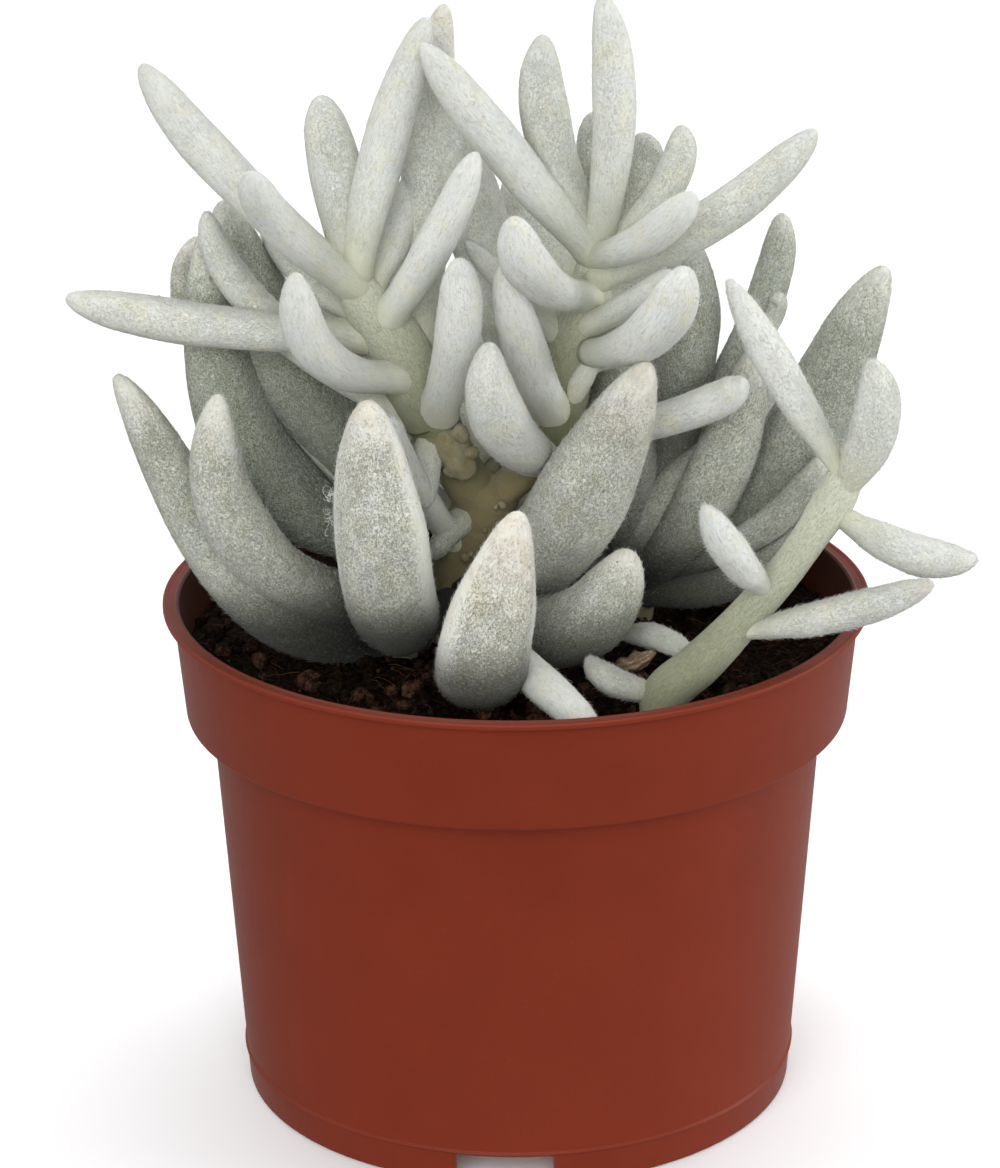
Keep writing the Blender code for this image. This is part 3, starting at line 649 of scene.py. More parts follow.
class Leaf:
    """One felted leaf as a surface of (t along it, u around it)."""

    def __init__(self, stem, row, number):
        """Takes a row of LEAVES. Widths between a finger's and a lance's give a form between theirs."""
        height, self.width, self.age, self.bare, self.blush, *path = row
        self.stem = stem
        self.path = np.array([OWN_ROOTS.get((stem, number), stem_point(stem, height)), *path], float)
        self.number = number
        self.chance = random.Random(f"{stem} {number}")
        self.knob = (stem, number) in KNOBS
        chord = self.path[-1] - self.path[0]
        self.side = unit(np.cross([chord[0], chord[1], 0.0], [0.0, 0.0, 1.0]))
        lance = min(max((self.width - FINGER_WIDTH) / (LANCE_WIDTH - FINGER_WIDTH), 0.0), 1.0)
        shape = np.array(FINGER_SHAPE) * (1 - lance) + np.array(LANCE_SHAPE) * lance
        self.flare = FINGER_FLARE + (LANCE_FLARE - FINGER_FLARE) * lance
        if stem == "side_shoot":
            shape = SPINDLE_SHAPE
            self.flare = LANCE_FLARE
        self.shape = np.array(OWN_SHAPES.get((stem, number), shape))
        self.keel = KEEL_HEIGHT[0] + KEEL_HEIGHT[1] * self.age + self.chance.uniform(*KEEL_PLAY)
        self.length = np.linalg.norm(np.diff(self.centre(np.linspace(0, 1, 30)), axis=0), axis=1).sum()

    def centre(self, t):
        """The curve through the row's path points."""
        return through_points(self.path, t)

    def surface(self, t, u):
        """Points at t and u, arrays of one shape: an oval across the path, as wide as the leaf's share at t,
        flatter than round, with a soft keel underneath, slow swells, low ribs on old leaves, and a rounded
        end. The heel flares where it meets the stem."""
        t, u = np.broadcast_arrays(np.asarray(t, float), np.asarray(u, float))
        along = unit(self.centre(t + PATH_STEP) - self.centre(t - PATH_STEP))
        flat = unit(self.side - along * (along @ self.side)[..., None])
        over = np.cross(flat, along)
        share = np.sqrt(np.maximum(smooth_through(t, LEAF_STATIONS, self.shape**2)[..., 0], 0))
        angle = 2 * np.pi * u
        across, up = np.cos(angle), np.sin(angle)
        power = LEAF_SQUARENESS
        round_off = (np.abs(across) ** power + np.abs(up) ** power) ** (-1 / power)
        keel = 1 + self.keel * np.exp(-((across / KEEL_WIDTH) ** 2)) * np.where(up < 0, 1.0, KEEL_HOLLOW)
        edge = 1 + MARGIN_BULGE * np.exp(-((up / MARGIN_WIDTH) ** 2))
        phase = self.number * PHASE_STEP
        swells = (size * np.sin(by_t * t + by_u * angle + k * phase) for size, by_t, by_u, k in LEAF_SWELLS)
        half = self.width / 2 * share * round_off * (1 + sum(swells))
        rib = RIB_HEIGHT * self.age * np.sin(RIB_COUNT * angle + 4 * t + phase) * share
        x = half * across * edge + rib * across
        y = (half * keel * LEAF_FLATNESS + rib) * up
        middle, reach = self.centre(t), flat * x[..., None] + over * y[..., None]
        near = np.exp(-np.maximum(outside_stem(middle + reach, self.stem), 0) / FLARE_REACH)
        return middle + reach * (1 + self.flare * near)[..., None]

    def normal(self, t, u):
        """Outward directions and directions along the leaf, from the surface a small step away."""
        step = 0.004
        low, high = np.clip(t - step, 0.002, 0.998), np.clip(t + step, 0.002, 0.998)
        along = self.surface(high, u) - self.surface(low, u)
        around = self.surface(t, u + step) - self.surface(t, u - step)
        found = unit(np.cross(along, around))
        out = self.surface(t, u) - self.centre(t)
        return found * np.sign(np.sum(found * out, axis=-1, keepdims=True)), unit(along)

    def soil_and_shade_at(self, height):
        """How much soil and painted shade the leaf takes at a height: less with height, and none on young
        leaves.
        """
        worn = min(1.0, max(0.0, self.age - SOIL_SHADE_START_AGE) * SOIL_SHADE_BY_AGE)
        return np.clip((SOIL_SHADE_TOP - height) / SOIL_SHADE_FADE, 0, 1) * worn

    def lay(self, piece, bark):
        """Rows crowd towards the rounded tip, and one point closes each end. A knob has bark paint, and lumps
        stand on it."""
        t = 1 - (1 - np.linspace(0.0, 1.0, LEAF_ROWS + 1)[:-1]) ** TIP_CROWDING
        grid = self.surface(t[:, None], np.arange(LEAF_COLUMNS)[None, :] / LEAF_COLUMNS)
        if self.knob:
            lump = KNOB_LUMP * cell_noise(grid, KNOB_LUMP_SIZE, 5)
            grid = grid + unit(grid - self.centre(t)[:, None]) * lump[..., None]
        across = np.abs(np.cos(round_angles(LEAF_COLUMNS)))[None, :]
        start, end = self.centre(np.array([0.0, 1.0]))
        distance = t * self.length + self.chance.uniform(0, 200)
        piece.add_tube(
            grid,
            start,
            end,
            math.pi * self.width * 0.9,
            distance,
            bark if self.knob else 0,
            along=0.75 if self.knob else t[:, None],
            margin=across**4 * self.side[0] ** 2,
            root=np.exp(-np.maximum(outside_stem(grid, self.stem), 0) / ROOT_TINT_REACH),
            # Soil and painted shade on the low parts of old leaves
            dirt=self.soil_and_shade_at(grid[..., 2]),
            age=self.age,
            bare=self.bare,
            blush=self.blush,
            tone=self.chance.uniform(-1, 1),
        )


def lay_stem(piece, stem, paint):
    """Rings carried along the smooth path, with its radius, slow swells and the low rings of old leaf scars.
    The buried end stays level, and a branch's foot is as old as the trunk."""
    path = np.array(STEMS[stem], float)
    reach = np.concatenate([[0], np.cumsum(np.linalg.norm(np.diff(path[:, :3], axis=0), axis=1))])
    d = np.linspace(0, reach[-1], int(reach[-1] * STEM_ROWS_PER_MM))
    centre = smooth_through(d, reach, path[:, :3])
    radius = smooth_through(d, reach, path[:, 3])[:, 0]
    along = unit(np.gradient(centre, axis=0))
    along[d <= reach[1]] = (0, 0, 1)
    side = unit(np.cross((0.0, 1.0, 0.0), along))
    over = np.cross(along, side)
    angle = round_angles(STEM_COLUMNS)[None, :]
    age = STEM_AGE[stem]
    foot = np.exp(-((d / OLD_FOOT_REACH) ** 2))[:, None] if stem.endswith("branch") else 0.0
    scar = np.exp(-(((d / SCAR_SPACING + 0.3) % 1.0 - 0.5) / SCAR_WIDTH) ** 2)
    crown = np.sqrt(np.clip((reach[-1] - d) / CROWN_REACH, 0.02, 1))
    size = (radius * crown)[:, None] * (1 + SCAR_HEIGHT * age * scar[:, None])
    size = size * (1 + STEM_SWELL * np.sin(3 * angle + d[:, None] * 0.35))
    grid = carried(centre, side, over, size * np.cos(angle), size * np.sin(angle))
    rough = sum(high * cell_noise(grid, wide, seed) for high, wide, seed in BARK_GRAINS)
    grid = grid + unit(grid - centre[:, None]) * rough[..., None] * age
    end = centre[-1] + along[-1] * radius[-1] * 0.3
    values = {"along": (d / reach[-1])[:, None], "age": age + (1 - age) * foot, **STEM_VALUES}
    piece.add_tube(grid, centre[0], end, 2 * math.pi * radius.mean(), d, paint, **values)


def lay_beads(piece, paint):
    """Pale buds on the trunk and a cluster of woody knobs under the left branch: lumpy round beads half sunk
    in the bark."""
    for x, y, z, size in BARK_BEADS:
        ball, t = ball_rings(9, 12, 0.08)
        ball = ball * size
        centre = np.array([x, y, z])
        grid = ball * (1 + BEAD_LUMP * cell_noise(ball + centre, size * 0.9, 7)[..., None]) + centre
        ends = [centre + (0, 0, size), centre - (0, 0, size)]
        piece.add_tube(grid, *ends, 2 * math.pi * size, t * size, paint, **BEAD_VALUES)


def lay_curls(piece):
    """Tufts of loose white hairs on the edge of a broad leaf: each hair is a thin strand that starts near the
    middle of its tuft and curls, because its heading turns by an even angle from ring to ring."""
    draw = np.random.default_rng(11)
    for x, y, z, spread, count in CURL_TUFTS:
        for _ in range(count):
            start = np.array([x, y, z]) + draw.normal(0, spread, 3)
            first, second = draw.normal(0, 1, 3), draw.normal(0, 1, 3)
            first = unit(first)
            second = unit(second - first * (second @ first))
            turn = draw.uniform(*CURL_TURN) * np.linspace(0, 1, 9)[:, None]
            size = draw.uniform(*CURL_RADIUS)
            line = start + size * (np.sin(turn) * first + (1 - np.cos(turn)) * second)
            along = unit(np.gradient(line, axis=0))
            side = unit(np.cross(along, first + 0.37))
            thin = draw.uniform(*CURL_THICKNESS)
            lay_strand(piece, line, side, np.cross(along, side), thin, 3, 2.0, tone=draw.random(), dirt=0)


def lay_hairs(piece, leaves, most):
    """Felt hairs: slim three-sided spikes with a point. They stand evenly over the leaves' area, lean
    towards the tip, stray to each side and lift off the surface."""
    areas = np.array([leaf.length * leaf.width for leaf in leaves])
    counts = (most * areas / areas.sum()).astype(int)
    for leaf, count in zip(leaves, counts):
        draw = np.random.default_rng(leaf.number * 977 + int(leaf.width * 10) + int(leaf.length))
        t = HAIR_START + HAIR_REACH * draw.random(count) ** 0.9
        u = draw.random(count)
        root = leaf.surface(t, u)
        out, along = leaf.normal(t, u)
        around = np.cross(out, along)
        stray = draw.normal(0, HAIR_STRAY, count)[:, None]
        lift = (HAIR_LIFT * draw.uniform(*HAIR_LIFT_PLAY, count))[:, None]
        aim = unit(along * HAIR_LEAN + around * stray + out * lift)
        tip = root + aim * draw.uniform(*HAIR_LENGTH, count)[:, None]
        first = unit(np.cross(aim, out + 0.01))
        second = np.cross(aim, first)
        thick = draw.uniform(*HAIR_THICKNESS, count)[:, None]
        base = root - out * HAIR_ROOT_DEPTH
        ring = [base + thick * (first * math.cos(a) + second * math.sin(a)) for a in round_angles(3)]
        points = np.stack([*ring, tip], 1).reshape(-1, 3)
        k = np.arange(count)[:, None] * 4
        faces = np.concatenate([k + [0, 1, 3], k + [1, 2, 3], k + [2, 0, 3], k + [0, 2, 1]])
        uv = np.zeros((len(faces), 3, 2))
        # Each hair takes its leaf's soil and painted shade
        tone, dirt = np.repeat(draw.random(count), 4), np.repeat(leaf.soil_and_shade_at(root[:, 2]), 4)
        piece.add(points, [faces], [uv], tone=tone, dirt=dirt)


def make_plant(node, felt, hairs, bark):
    """One leafy node: its stems and leaves in one piece, and the hairs of its leaves in another."""
    stems, most = PLANTS[node]
    foliage, down, felted = Piece(), Piece(), []
    for stem in stems:
        lay_stem(foliage, stem, 1)
        leaves = [Leaf(stem, row, k) for k, row in enumerate((*LEAVES[stem], *far_side_leaves(stem)))]
        for leaf in leaves:
            leaf.lay(foliage, 1)
        felted += [leaf for leaf in leaves if not leaf.knob]
    if node == "main_plant":
        lay_beads(foliage, 1)
    foliage.make(node + "_foliage", "felted_leaf", [node], [felt, bark])
    lay_hairs(down, felted, most)
    if node == "left_shoot":
        lay_curls(down)
    down.make(node + "_hairs", "felted_leaf", [node], [hairs])


# Pot


def wall_radius(height):
    """The wall's outer radius at a height, on a straight taper."""
    return WALL_FOOT_RADIUS + (WALL_TOP_RADIUS - WALL_FOOT_RADIUS) * height / COLLAR_FOOT_HEIGHT


def collar_radius(height):
    """The collar's outer radius at a height, on a straight taper."""
    share = (height - COLLAR_FOOT_HEIGHT) / (POT_HEIGHT - LIP_THICKNESS - COLLAR_FOOT_HEIGHT)
    return COLLAR_FOOT_RADIUS + (COLLAR_TOP_RADIUS - COLLAR_FOOT_RADIUS) * share


def ring(radius, height, angle):
    """Points at these angles on level circles of this radius, at this height."""
    return np.stack(np.broadcast_arrays(radius * np.cos(angle), radius * np.sin(angle), height), -1)


def rounded(profile, steps=4):
    """The closed profile with each corner (radius, height, rounding) cut back by its rounding and joined by a
    curve that bends towards the corner."""
    corners = np.array([p[:2] for p in profile], float)
    cut = np.array([p[2] for p in profile], float)[:, None]
    before = unit(np.roll(corners, 1, 0) - corners)
    after = unit(np.roll(corners, -1, 0) - corners)
    s = np.linspace(0, 1, steps)[None, :, None]
    start, end, corner = (corners + before * cut)[:, None], (corners + after * cut)[:, None], corners[:, None]
    return (start * (1 - s) ** 2 + 2 * corner * s * (1 - s) + end * s * s).reshape(-1, 2)


def pot_profile():
    """The pot's closed outline, from under the base out, up the wall to the lip, and down inside: (radius,
    height, rounding) at each corner."""
    under_lip = POT_HEIGHT - LIP_THICKNESS
    groove = POT_HEIGHT - GROOVE_DEPTH
    inner = collar_radius(POT_HEIGHT) - WALL_THICKNESS
    low, high = RIDGE_HEIGHT - RIDGE_DEPTH, RIDGE_HEIGHT + RIDGE_DEPTH
    return (
        (wall_radius(BASE_UNDERSIDE) - WALL_THICKNESS, BASE_UNDERSIDE, 0.3),
        (WALL_FOOT_RADIUS - WALL_THICKNESS, 0, 0.25),
        (WALL_FOOT_RADIUS, 0, 0.35),
        (wall_radius(low), low, 0.1),
        (wall_radius(RIDGE_HEIGHT) + RIDGE_DEPTH, RIDGE_HEIGHT, 0.15),
        (wall_radius(high), high, 0.1),
        (WALL_TOP_RADIUS, COLLAR_FOOT_HEIGHT, 0.3),
        (COLLAR_FOOT_RADIUS, COLLAR_FOOT_HEIGHT, 0.5),
        (COLLAR_TOP_RADIUS, under_lip, 0.2),
        (LIP_RADIUS, under_lip, 0.25),
        (LIP_RADIUS, POT_HEIGHT - RIM_DROP, 0.12),
        (LIP_RADIUS - OUTER_CREST, POT_HEIGHT, 0.15),
        (LIP_RADIUS - OUTER_RIDGE_WIDTH, groove, 0.2),
        (inner + INNER_RIDGE_WIDTH, groove, 0.2),
        (inner + INNER_RIDGE_WIDTH / 2, POT_HEIGHT, 0.12),
        (inner, POT_HEIGHT - INNER_EDGE_DROP, 0.2),
        (collar_radius(LEDGE_TOP) - WALL_THICKNESS, LEDGE_TOP, 0.5),
        (wall_radius(LEDGE_TOP) - WALL_THICKNESS, LEDGE_TOP, 0.5),
        (wall_radius(BASE_TOP) - WALL_THICKNESS, BASE_TOP, 0.6),
    )


def cut_drain(pot, turn, material):
    """Cuts one round hole through the base, at this angle about the axis."""
    x, y = DRAIN_RING_RADIUS * math.cos(turn), DRAIN_RING_RADIUS * math.sin(turn)
    z = np.array([BASE_UNDERSIDE - 1, BASE_TOP + 1])
    tube = ring(DRAIN_RADIUS, z[:, None], round_angles(DRAIN_COLUMNS)[None, :]) + (x, y, 0)
    bore = Piece()
    bore.add_tube(tube, (x, y, z[0]), (x, y, z[1]), 30.0, z)
    cutter = bore.make("drain_cutter", "terracotta_plastic", [], [material])
    cut = pot.modifiers.new("drain", "BOOLEAN")
    cut.operation = "DIFFERENCE"
    cut.solver = "EXACT"
    cut.object = cutter
    bpy.context.view_layer.objects.active = pot
    bpy.ops.object.modifier_apply(modifier=cut.name)
    bpy.data.objects.remove(cutter)


def make_pot(material):
    """The rounded profile turned about the axis. Under the notch height, the foot ring is lifted wherever the
    angle is inside a notch."""
    outline = rounded(pot_profile())
    edge = math.asin(NOTCH_WIDTH / 2 / WALL_FOOT_RADIUS)
    notches = round_angles(NOTCH_COUNT) + FIRST_NOTCH_TURN
    steps = (-edge - NOTCH_SIDE, -edge + NOTCH_SIDE, edge - NOTCH_SIDE, edge + NOTCH_SIDE)
    sides = np.concatenate([notches + k for k in steps])
    angle = np.unique(np.round(np.concatenate([round_angles(POT_COLUMNS), sides % (2 * np.pi)]), 5))
    off = np.abs((angle[:, None] - notches + np.pi) % (2 * np.pi) - np.pi).min(1)
    floor = np.where(off < edge, NOTCH_HEIGHT, 0.0)[None, :]
    grid = ring(outline[:, :1], np.maximum(outline[:, 1:], floor), angle[None, :])
    distance = np.concatenate([[0], np.cumsum(np.linalg.norm(np.diff(outline, axis=0), axis=1))])
    piece = Piece()
    piece.add_tube(grid, (0, 0, BASE_UNDERSIDE), (0, 0, BASE_TOP), 2 * math.pi * LIP_RADIUS, distance)
    pot = piece.make("nursery_pot", "terracotta_plastic", ["pot"], [material])
    for k in range(DRAIN_COUNT):
        cut_drain(pot, 2 * math.pi * k / DRAIN_COUNT, material)
    pot.data.set_sharp_from_angle(angle=SHARP_ANGLE)


# Peat and the dry leaf


def soil_height(x, y):
    """Slow swells, then crumbs of three sizes that stand up more than they sink, and a fine grain."""
    lump = sum(share * np.sin(by_x * x + by_y * y + start) for share, by_x, by_y, start in SOIL_SWELLS)
    flat = np.stack([x, y, 0 * x], -1)
    crumb = sum(share * np.abs(cell_noise(flat, size, seed)) for share, size, seed in SOIL_GRAINS)
    share, size, seed = FINE_GRAIN
    crumb = crumb + share * cell_noise(flat, size, seed)
    return SOIL_TOP - GRAIN_SINK + SOIL_LUMP * lump + GRAIN_HEIGHT * crumb


def place_on_soil(draw, most):
    """A random place, evenly over a disc of this share of the soil's radius."""
    r = SOIL_RADIUS * math.sqrt(draw.random()) * most
    a = 2 * math.pi * draw.random()
    return r * math.cos(a), r * math.sin(a)


def lay_crumbs(piece, draw):
    """Small lumpy balls pressed into the soil, most of them small."""
    for _ in range(CRUMB_COUNT):
        centre = np.array([*place_on_soil(draw, CRUMB_DISC), 0.0])
        size = CRUMB_LEAST + CRUMB_SPREAD * draw.random() ** 3
        ball, t = ball_rings(5, 9, 0.1)
        lump = 1 + CRUMB_LUMP * cell_noise(ball + centre, CRUMB_LUMP_SIZE, 21)[..., None]
        ball = ball * lump * size * draw.uniform(0.7, 1.2, 3)
        centre[2] = soil_height(centre[0], centre[1]) + LITTER_LIFT * size
        ends = [centre + (0, 0, size * 0.9), centre - (0, 0, size * 0.9)]
        piece.add_tube(ball + centre, *ends, 6 * size, t * size, tone=draw.random())


def lay_fibres(piece, draw):
    """Thin bent strands that lie on the soil and arch a little. Those that would pass its edge are bent back
    along it."""
    s = np.linspace(0, 1, 6)
    for _ in range(FIBRE_COUNT):
        x, y = place_on_soil(draw, FIBRE_DISC)
        heading = 2 * math.pi * draw.random()
        length = draw.uniform(*FIBRE_LENGTH)
        bend = draw.uniform(-FIBRE_BEND, FIBRE_BEND)
        x = x + length * s * np.cos(heading + bend * s)
        y = y + length * s * np.sin(heading + bend * s)
        keep = np.minimum(1, (SOIL_RADIUS - 0.4) / np.maximum(np.hypot(x, y), 1e-6))
        x, y = x * keep, y * keep
        arch = draw.uniform(0, FIBRE_ARCH) * np.sin(np.pi * s)
        line = np.stack([x, y, soil_height(x, y) + LITTER_LIFT + arch], -1)
        _, side, over = level_frame(line)
        thin = draw.uniform(*FIBRE_THICKNESS)
        lay_strand(piece, line, side, over, thin, 4, length, tone=1.0 + draw.random())


def make_soil(material):
    """A disc of rings whose height is the soil's, and a plain side and foot below it, with crumbs and fibres
    on top."""
    angle = round_angles(SOIL_COLUMNS)
    radius = np.linspace(0.4, SOIL_RADIUS, SOIL_RINGS)[:, None]
    x, y = radius * np.cos(angle), radius * np.sin(angle)
    ledge = (collar_radius(LEDGE_TOP), LEDGE_TOP), (wall_radius(LEDGE_TOP), LEDGE_TOP)
    corners = (*ledge, (wall_radius(BASE_TOP), BASE_TOP))
    lower = [ring(r - WALL_THICKNESS - SOIL_SIDE_GAP, z + SOIL_FLOOR_GAP, angle) for r, z in corners]
    grid = np.concatenate([np.stack([x, y, soil_height(x, y)], -1), lower])
    foot, distance = (0, 0, BASE_TOP + SOIL_FLOOR_GAP), np.linspace(0, 150, len(grid))
    piece, draw = Piece(), np.random.default_rng(5)
    piece.add_tube(grid, (0, 0, soil_height(0.0, 0.0)), foot, 300.0, distance, tone=0.3)
    lay_crumbs(piece, draw)
    lay_fibres(piece, draw)
    piece.make("peat_top", "peat", ["soil"], [material])


def make_dry_leaf(material):
    """A shrivelled brown leaf: a thin oval along its path, with rolled edges and lengthwise wrinkles."""
    t = np.linspace(0.0, 1.0, 26)
    u = round_angles(24)[None, :]
    centre = through_points(np.array(DRY_LEAF_PATH, float), t)
    along, side, over = level_frame(centre)
    half = (DRY_LEAF_HALF_WIDTH * np.sqrt(np.clip(np.sin(np.pi * (0.12 + 0.86 * t)), 0.01, 1)))[:, None]
    folds = [size * np.sin(by_u * u + by_t * t[:, None]) for size, by_u, by_t in DRY_LEAF_WRINKLES]
    size, by_u, by_t = DRY_LEAF_PLEATS
    wrinkle = (1 + sum(folds)) * (1 + size * np.sin(by_u * u + by_t * t[:, None]))
    x = half * np.cos(u) * wrinkle
    y = half * DRY_LEAF_FLATNESS * np.sin(u) * wrinkle + DRY_LEAF_ROLL * (x / half) ** 2
    piece = Piece()
    grid = carried(centre, side, over, x, y)
    piece.add_tube(grid, centre[0], centre[-1] + along[-1] * 0.3, 9.0, t * 8)
    piece.make("dry_leaf_stub", "dry_leaf", ["dry_leaf"], [material])


# Materials


def feed(tree, node, key, value):
    """Links a socket to one of the node's inputs, or sets the input to a plain value."""
    if isinstance(value, bpy.types.NodeSocket):
        tree.links.new(value, node.inputs[key])
    else:
        node.inputs[key].default_value = value


def add_node(tree, kind, inputs=(), **settings):
    """A new node with these settings and inputs."""
    node = tree.nodes.new(kind)
    for key, value in settings.items():
        setattr(node, key, value)
    for key, value in dict(inputs).items():
        feed(tree, node, key, value)
    return node


def map_range(tree, x, low, high, to_low=0.0, to_high=1.0):
    """Takes x from one range to another on a straight line, and holds it at the ends."""
    inputs = {"Value": x, "From Min": low, "From Max": high, "To Min": to_low, "To Max": to_high}
    return add_node(tree, "ShaderNodeMapRange", inputs).outputs[0]


class Paint:
    """A material whose nodes are added one by one, each returning its main output."""

    def __init__(self, name):
        self.material = bpy.data.materials.new(name)
        self.material.use_nodes = True
        self.tree = self.material.node_tree
        self.place = self.add("ShaderNodeTexCoord").outputs["Object"]
        self.uv = self.add("ShaderNodeUVMap", uv_map="surface").outputs[0]

    def add(self, kind, inputs=(), **settings):
        """A new node in this material."""
        return add_node(self.tree, kind, inputs, **settings)

    def noise(self, size, detail=3.0, rough=0.6, distortion=0.0, at=None):
        """Noise whose blotches are about this many millimetres across."""
        inputs = {"Vector": at or self.place, "Scale": 1 / size if at else 1 / (size * MM)}
        inputs.update({"Detail": detail, "Roughness": rough, "Distortion": distortion})
        return self.add("ShaderNodeTexNoise", inputs).outputs[0]

    def streaks(self, across, along, *form):
        """Noise on the wrapped surface, this many millimetres across and along it."""
        inputs = {"Vector": self.uv, "Scale": (1 / across, 1 / along, 1)}
        return self.noise(1.0, *form, at=self.add("ShaderNodeMapping", inputs).outputs[0])

    def value(self, name):
        """The named value at the surface's points."""
        return self.add("ShaderNodeAttribute", attribute_name=name).outputs["Fac"]

    def maths(self, operation, a, b=0.0, clamp=False):
        """One sum, product or other step with two terms."""
        return self.add("ShaderNodeMath", {0: a, 1: b}, operation=operation, use_clamp=clamp).outputs[0]

    def times(self, *factors):
        """Multiplies factors, each a socket or a number."""
        total = factors[0]
        for factor in factors[1:]:
            total = self.maths("MULTIPLY", total, factor)
        return total

    def sum(self, *terms):
        """Adds terms, each a socket or a (socket, factor) pair or a number."""
        total = None
        for term in terms:
            term = self.times(*term) if isinstance(term, tuple) else term
            total = term if total is None else self.maths("ADD", total, term)
        return total

    def between(self, x, low, high, to_low=0.0, to_high=1.0):
        """Takes x from one range to another, as map_range does."""
        return map_range(self.tree, x, low, high, to_low, to_high)

    def mix(self, share, a, b, kind="MIX"):
        """This share of colour b over colour a."""
        a, b = (c if isinstance(c, bpy.types.NodeSocket) else (*c, 1.0) for c in (a, b))
        return self.add("ShaderNodeMix", {0: share, 6: a, 7: b}, data_type="RGBA", blend_type=kind).outputs[2]

    def bump(self, height, distance, strength):
        """Surface normals for this height, where 1 stands this many millimetres out."""
        inputs = {"Height": height, "Distance": distance * MM, "Strength": strength}
        return self.add("ShaderNodeBump", inputs).outputs[0]

    def finish(self, colour, roughness, normal=None, **plain):
        """Gives the shader its colour, roughness, normal and plain numbers, and returns the material."""
        inputs = {"Base Color": colour, "Roughness": roughness}
        if normal is not None:
            inputs["Normal"] = normal
        inputs.update({name.replace("_", " "): value for name, value in plain.items()})
        for name, value in inputs.items():
            feed(self.tree, self.tree.nodes["Principled BSDF"], name, value)
        return self.material


# Colours of the leaves, as shares of red, green and blue light
YOUNG_FELT = ((0.595, 0.605, 0.572), (0.655, 0.665, 0.622))
OLD_FELT = (0.76, 0.76, 0.665)
THIN_FELT = (0.58, 0.60, 0.46)
COOL_FELT = (0.60, 0.63, 0.65)
WARM_FELT = (0.66, 0.64, 0.50)
TIP_BLUSH = (0.50, 0.38, 0.29)
LEAF_SKIN = ((0.19, 0.20, 0.11), (0.08, 0.105, 0.042))
GREEN_FIBRE = (0.33, 0.37, 0.30)
WHITE_STRAND = (0.56, 0.59, 0.53)
WHITE_CURL = (0.62, 0.65, 0.60)
LEAF_BASE = (0.44, 0.47, 0.33)
LEAF_HEEL = (0.52, 0.51, 0.38)
# Dark of soil and painted shade on the low parts of old leaves
SOIL_AND_SHADE_DARK = (0.045, 0.04, 0.03)
SPECK = (0.08, 0.055, 0.035)
# Blotches of the felt, in millimetres
PIT_SIZE = 0.35
WEAVE_SIZE = (0.16, 0.7)
PATCH_SIZE = 3.4
SPECK_SPACING = 2.4


def felt_hair_colour(p, age, bare, tint):
    """White, yellower on old leaves and greener on bare ones, with cool and warm clouds and blushed tips."""
    hair = p.mix(p.noise(9.0, 2, 0.5), *YOUNG_FELT)
    hair = p.mix(p.times(age, 0.6), hair, OLD_FELT)
    hair = p.mix(p.times(bare, 0.5), hair, THIN_FELT)
    hair = p.mix(p.between(p.noise(4.5, 2, 0.5), 0.52, 0.66, 0, 0.4), hair, COOL_FELT)
    hair = p.mix(p.between(p.noise(3.7, 2, 0.5), 0.54, 0.68, 0, 0.6), hair, WARM_FELT)
    return p.mix(p.times(tint, 0.55), hair, TIP_BLUSH)


def add_strands(p, colour, age, bare):
    """Green lines between the long fibres of young leaves, and single white strands on bare ones, straight
    and curled."""
    fibre = p.between(p.streaks(0.20, 2.4, 2, 0.6, 0.7), 0.44, 0.34)
    colour = p.mix(p.times(fibre, p.between(age, 0.7, 0.1, 0.15, 0.5)), colour, GREEN_FIBRE)
    strand = p.between(p.streaks(0.10, 0.6, 2, 0.55, 2.2), 0.56, 0.64)
    colour = p.mix(p.times(strand, bare, 0.75), colour, WHITE_STRAND)
    curl = p.maths("ABSOLUTE", p.sum(p.noise(0.8, 2, 0.6, 1.6), -0.5))
    return p.mix(p.times(p.between(curl, 0.030, 0.012), bare, 0.7), colour, WHITE_CURL)


def add_specks(p, colour, age, tint):
    """A brown dot in the middle of a few cells, more of them on old leaves and blushed tips."""
    inputs = {"Vector": p.place, "Scale": 1 / (SPECK_SPACING * MM), "Randomness": 1.0}
    cells = p.add("ShaderNodeTexVoronoi", inputs)
    chance = p.add("ShaderNodeSeparateColor", {0: cells.outputs["Color"]}).outputs[0]
    rare = p.maths("GREATER_THAN", p.sum(chance, (age, 0.08), (tint, 0.12)), 1.0)
    dot = p.times(rare, p.between(cells.outputs["Distance"], 0.10, 0.05), 0.8)
    return p.mix(dot, colour, SPECK)


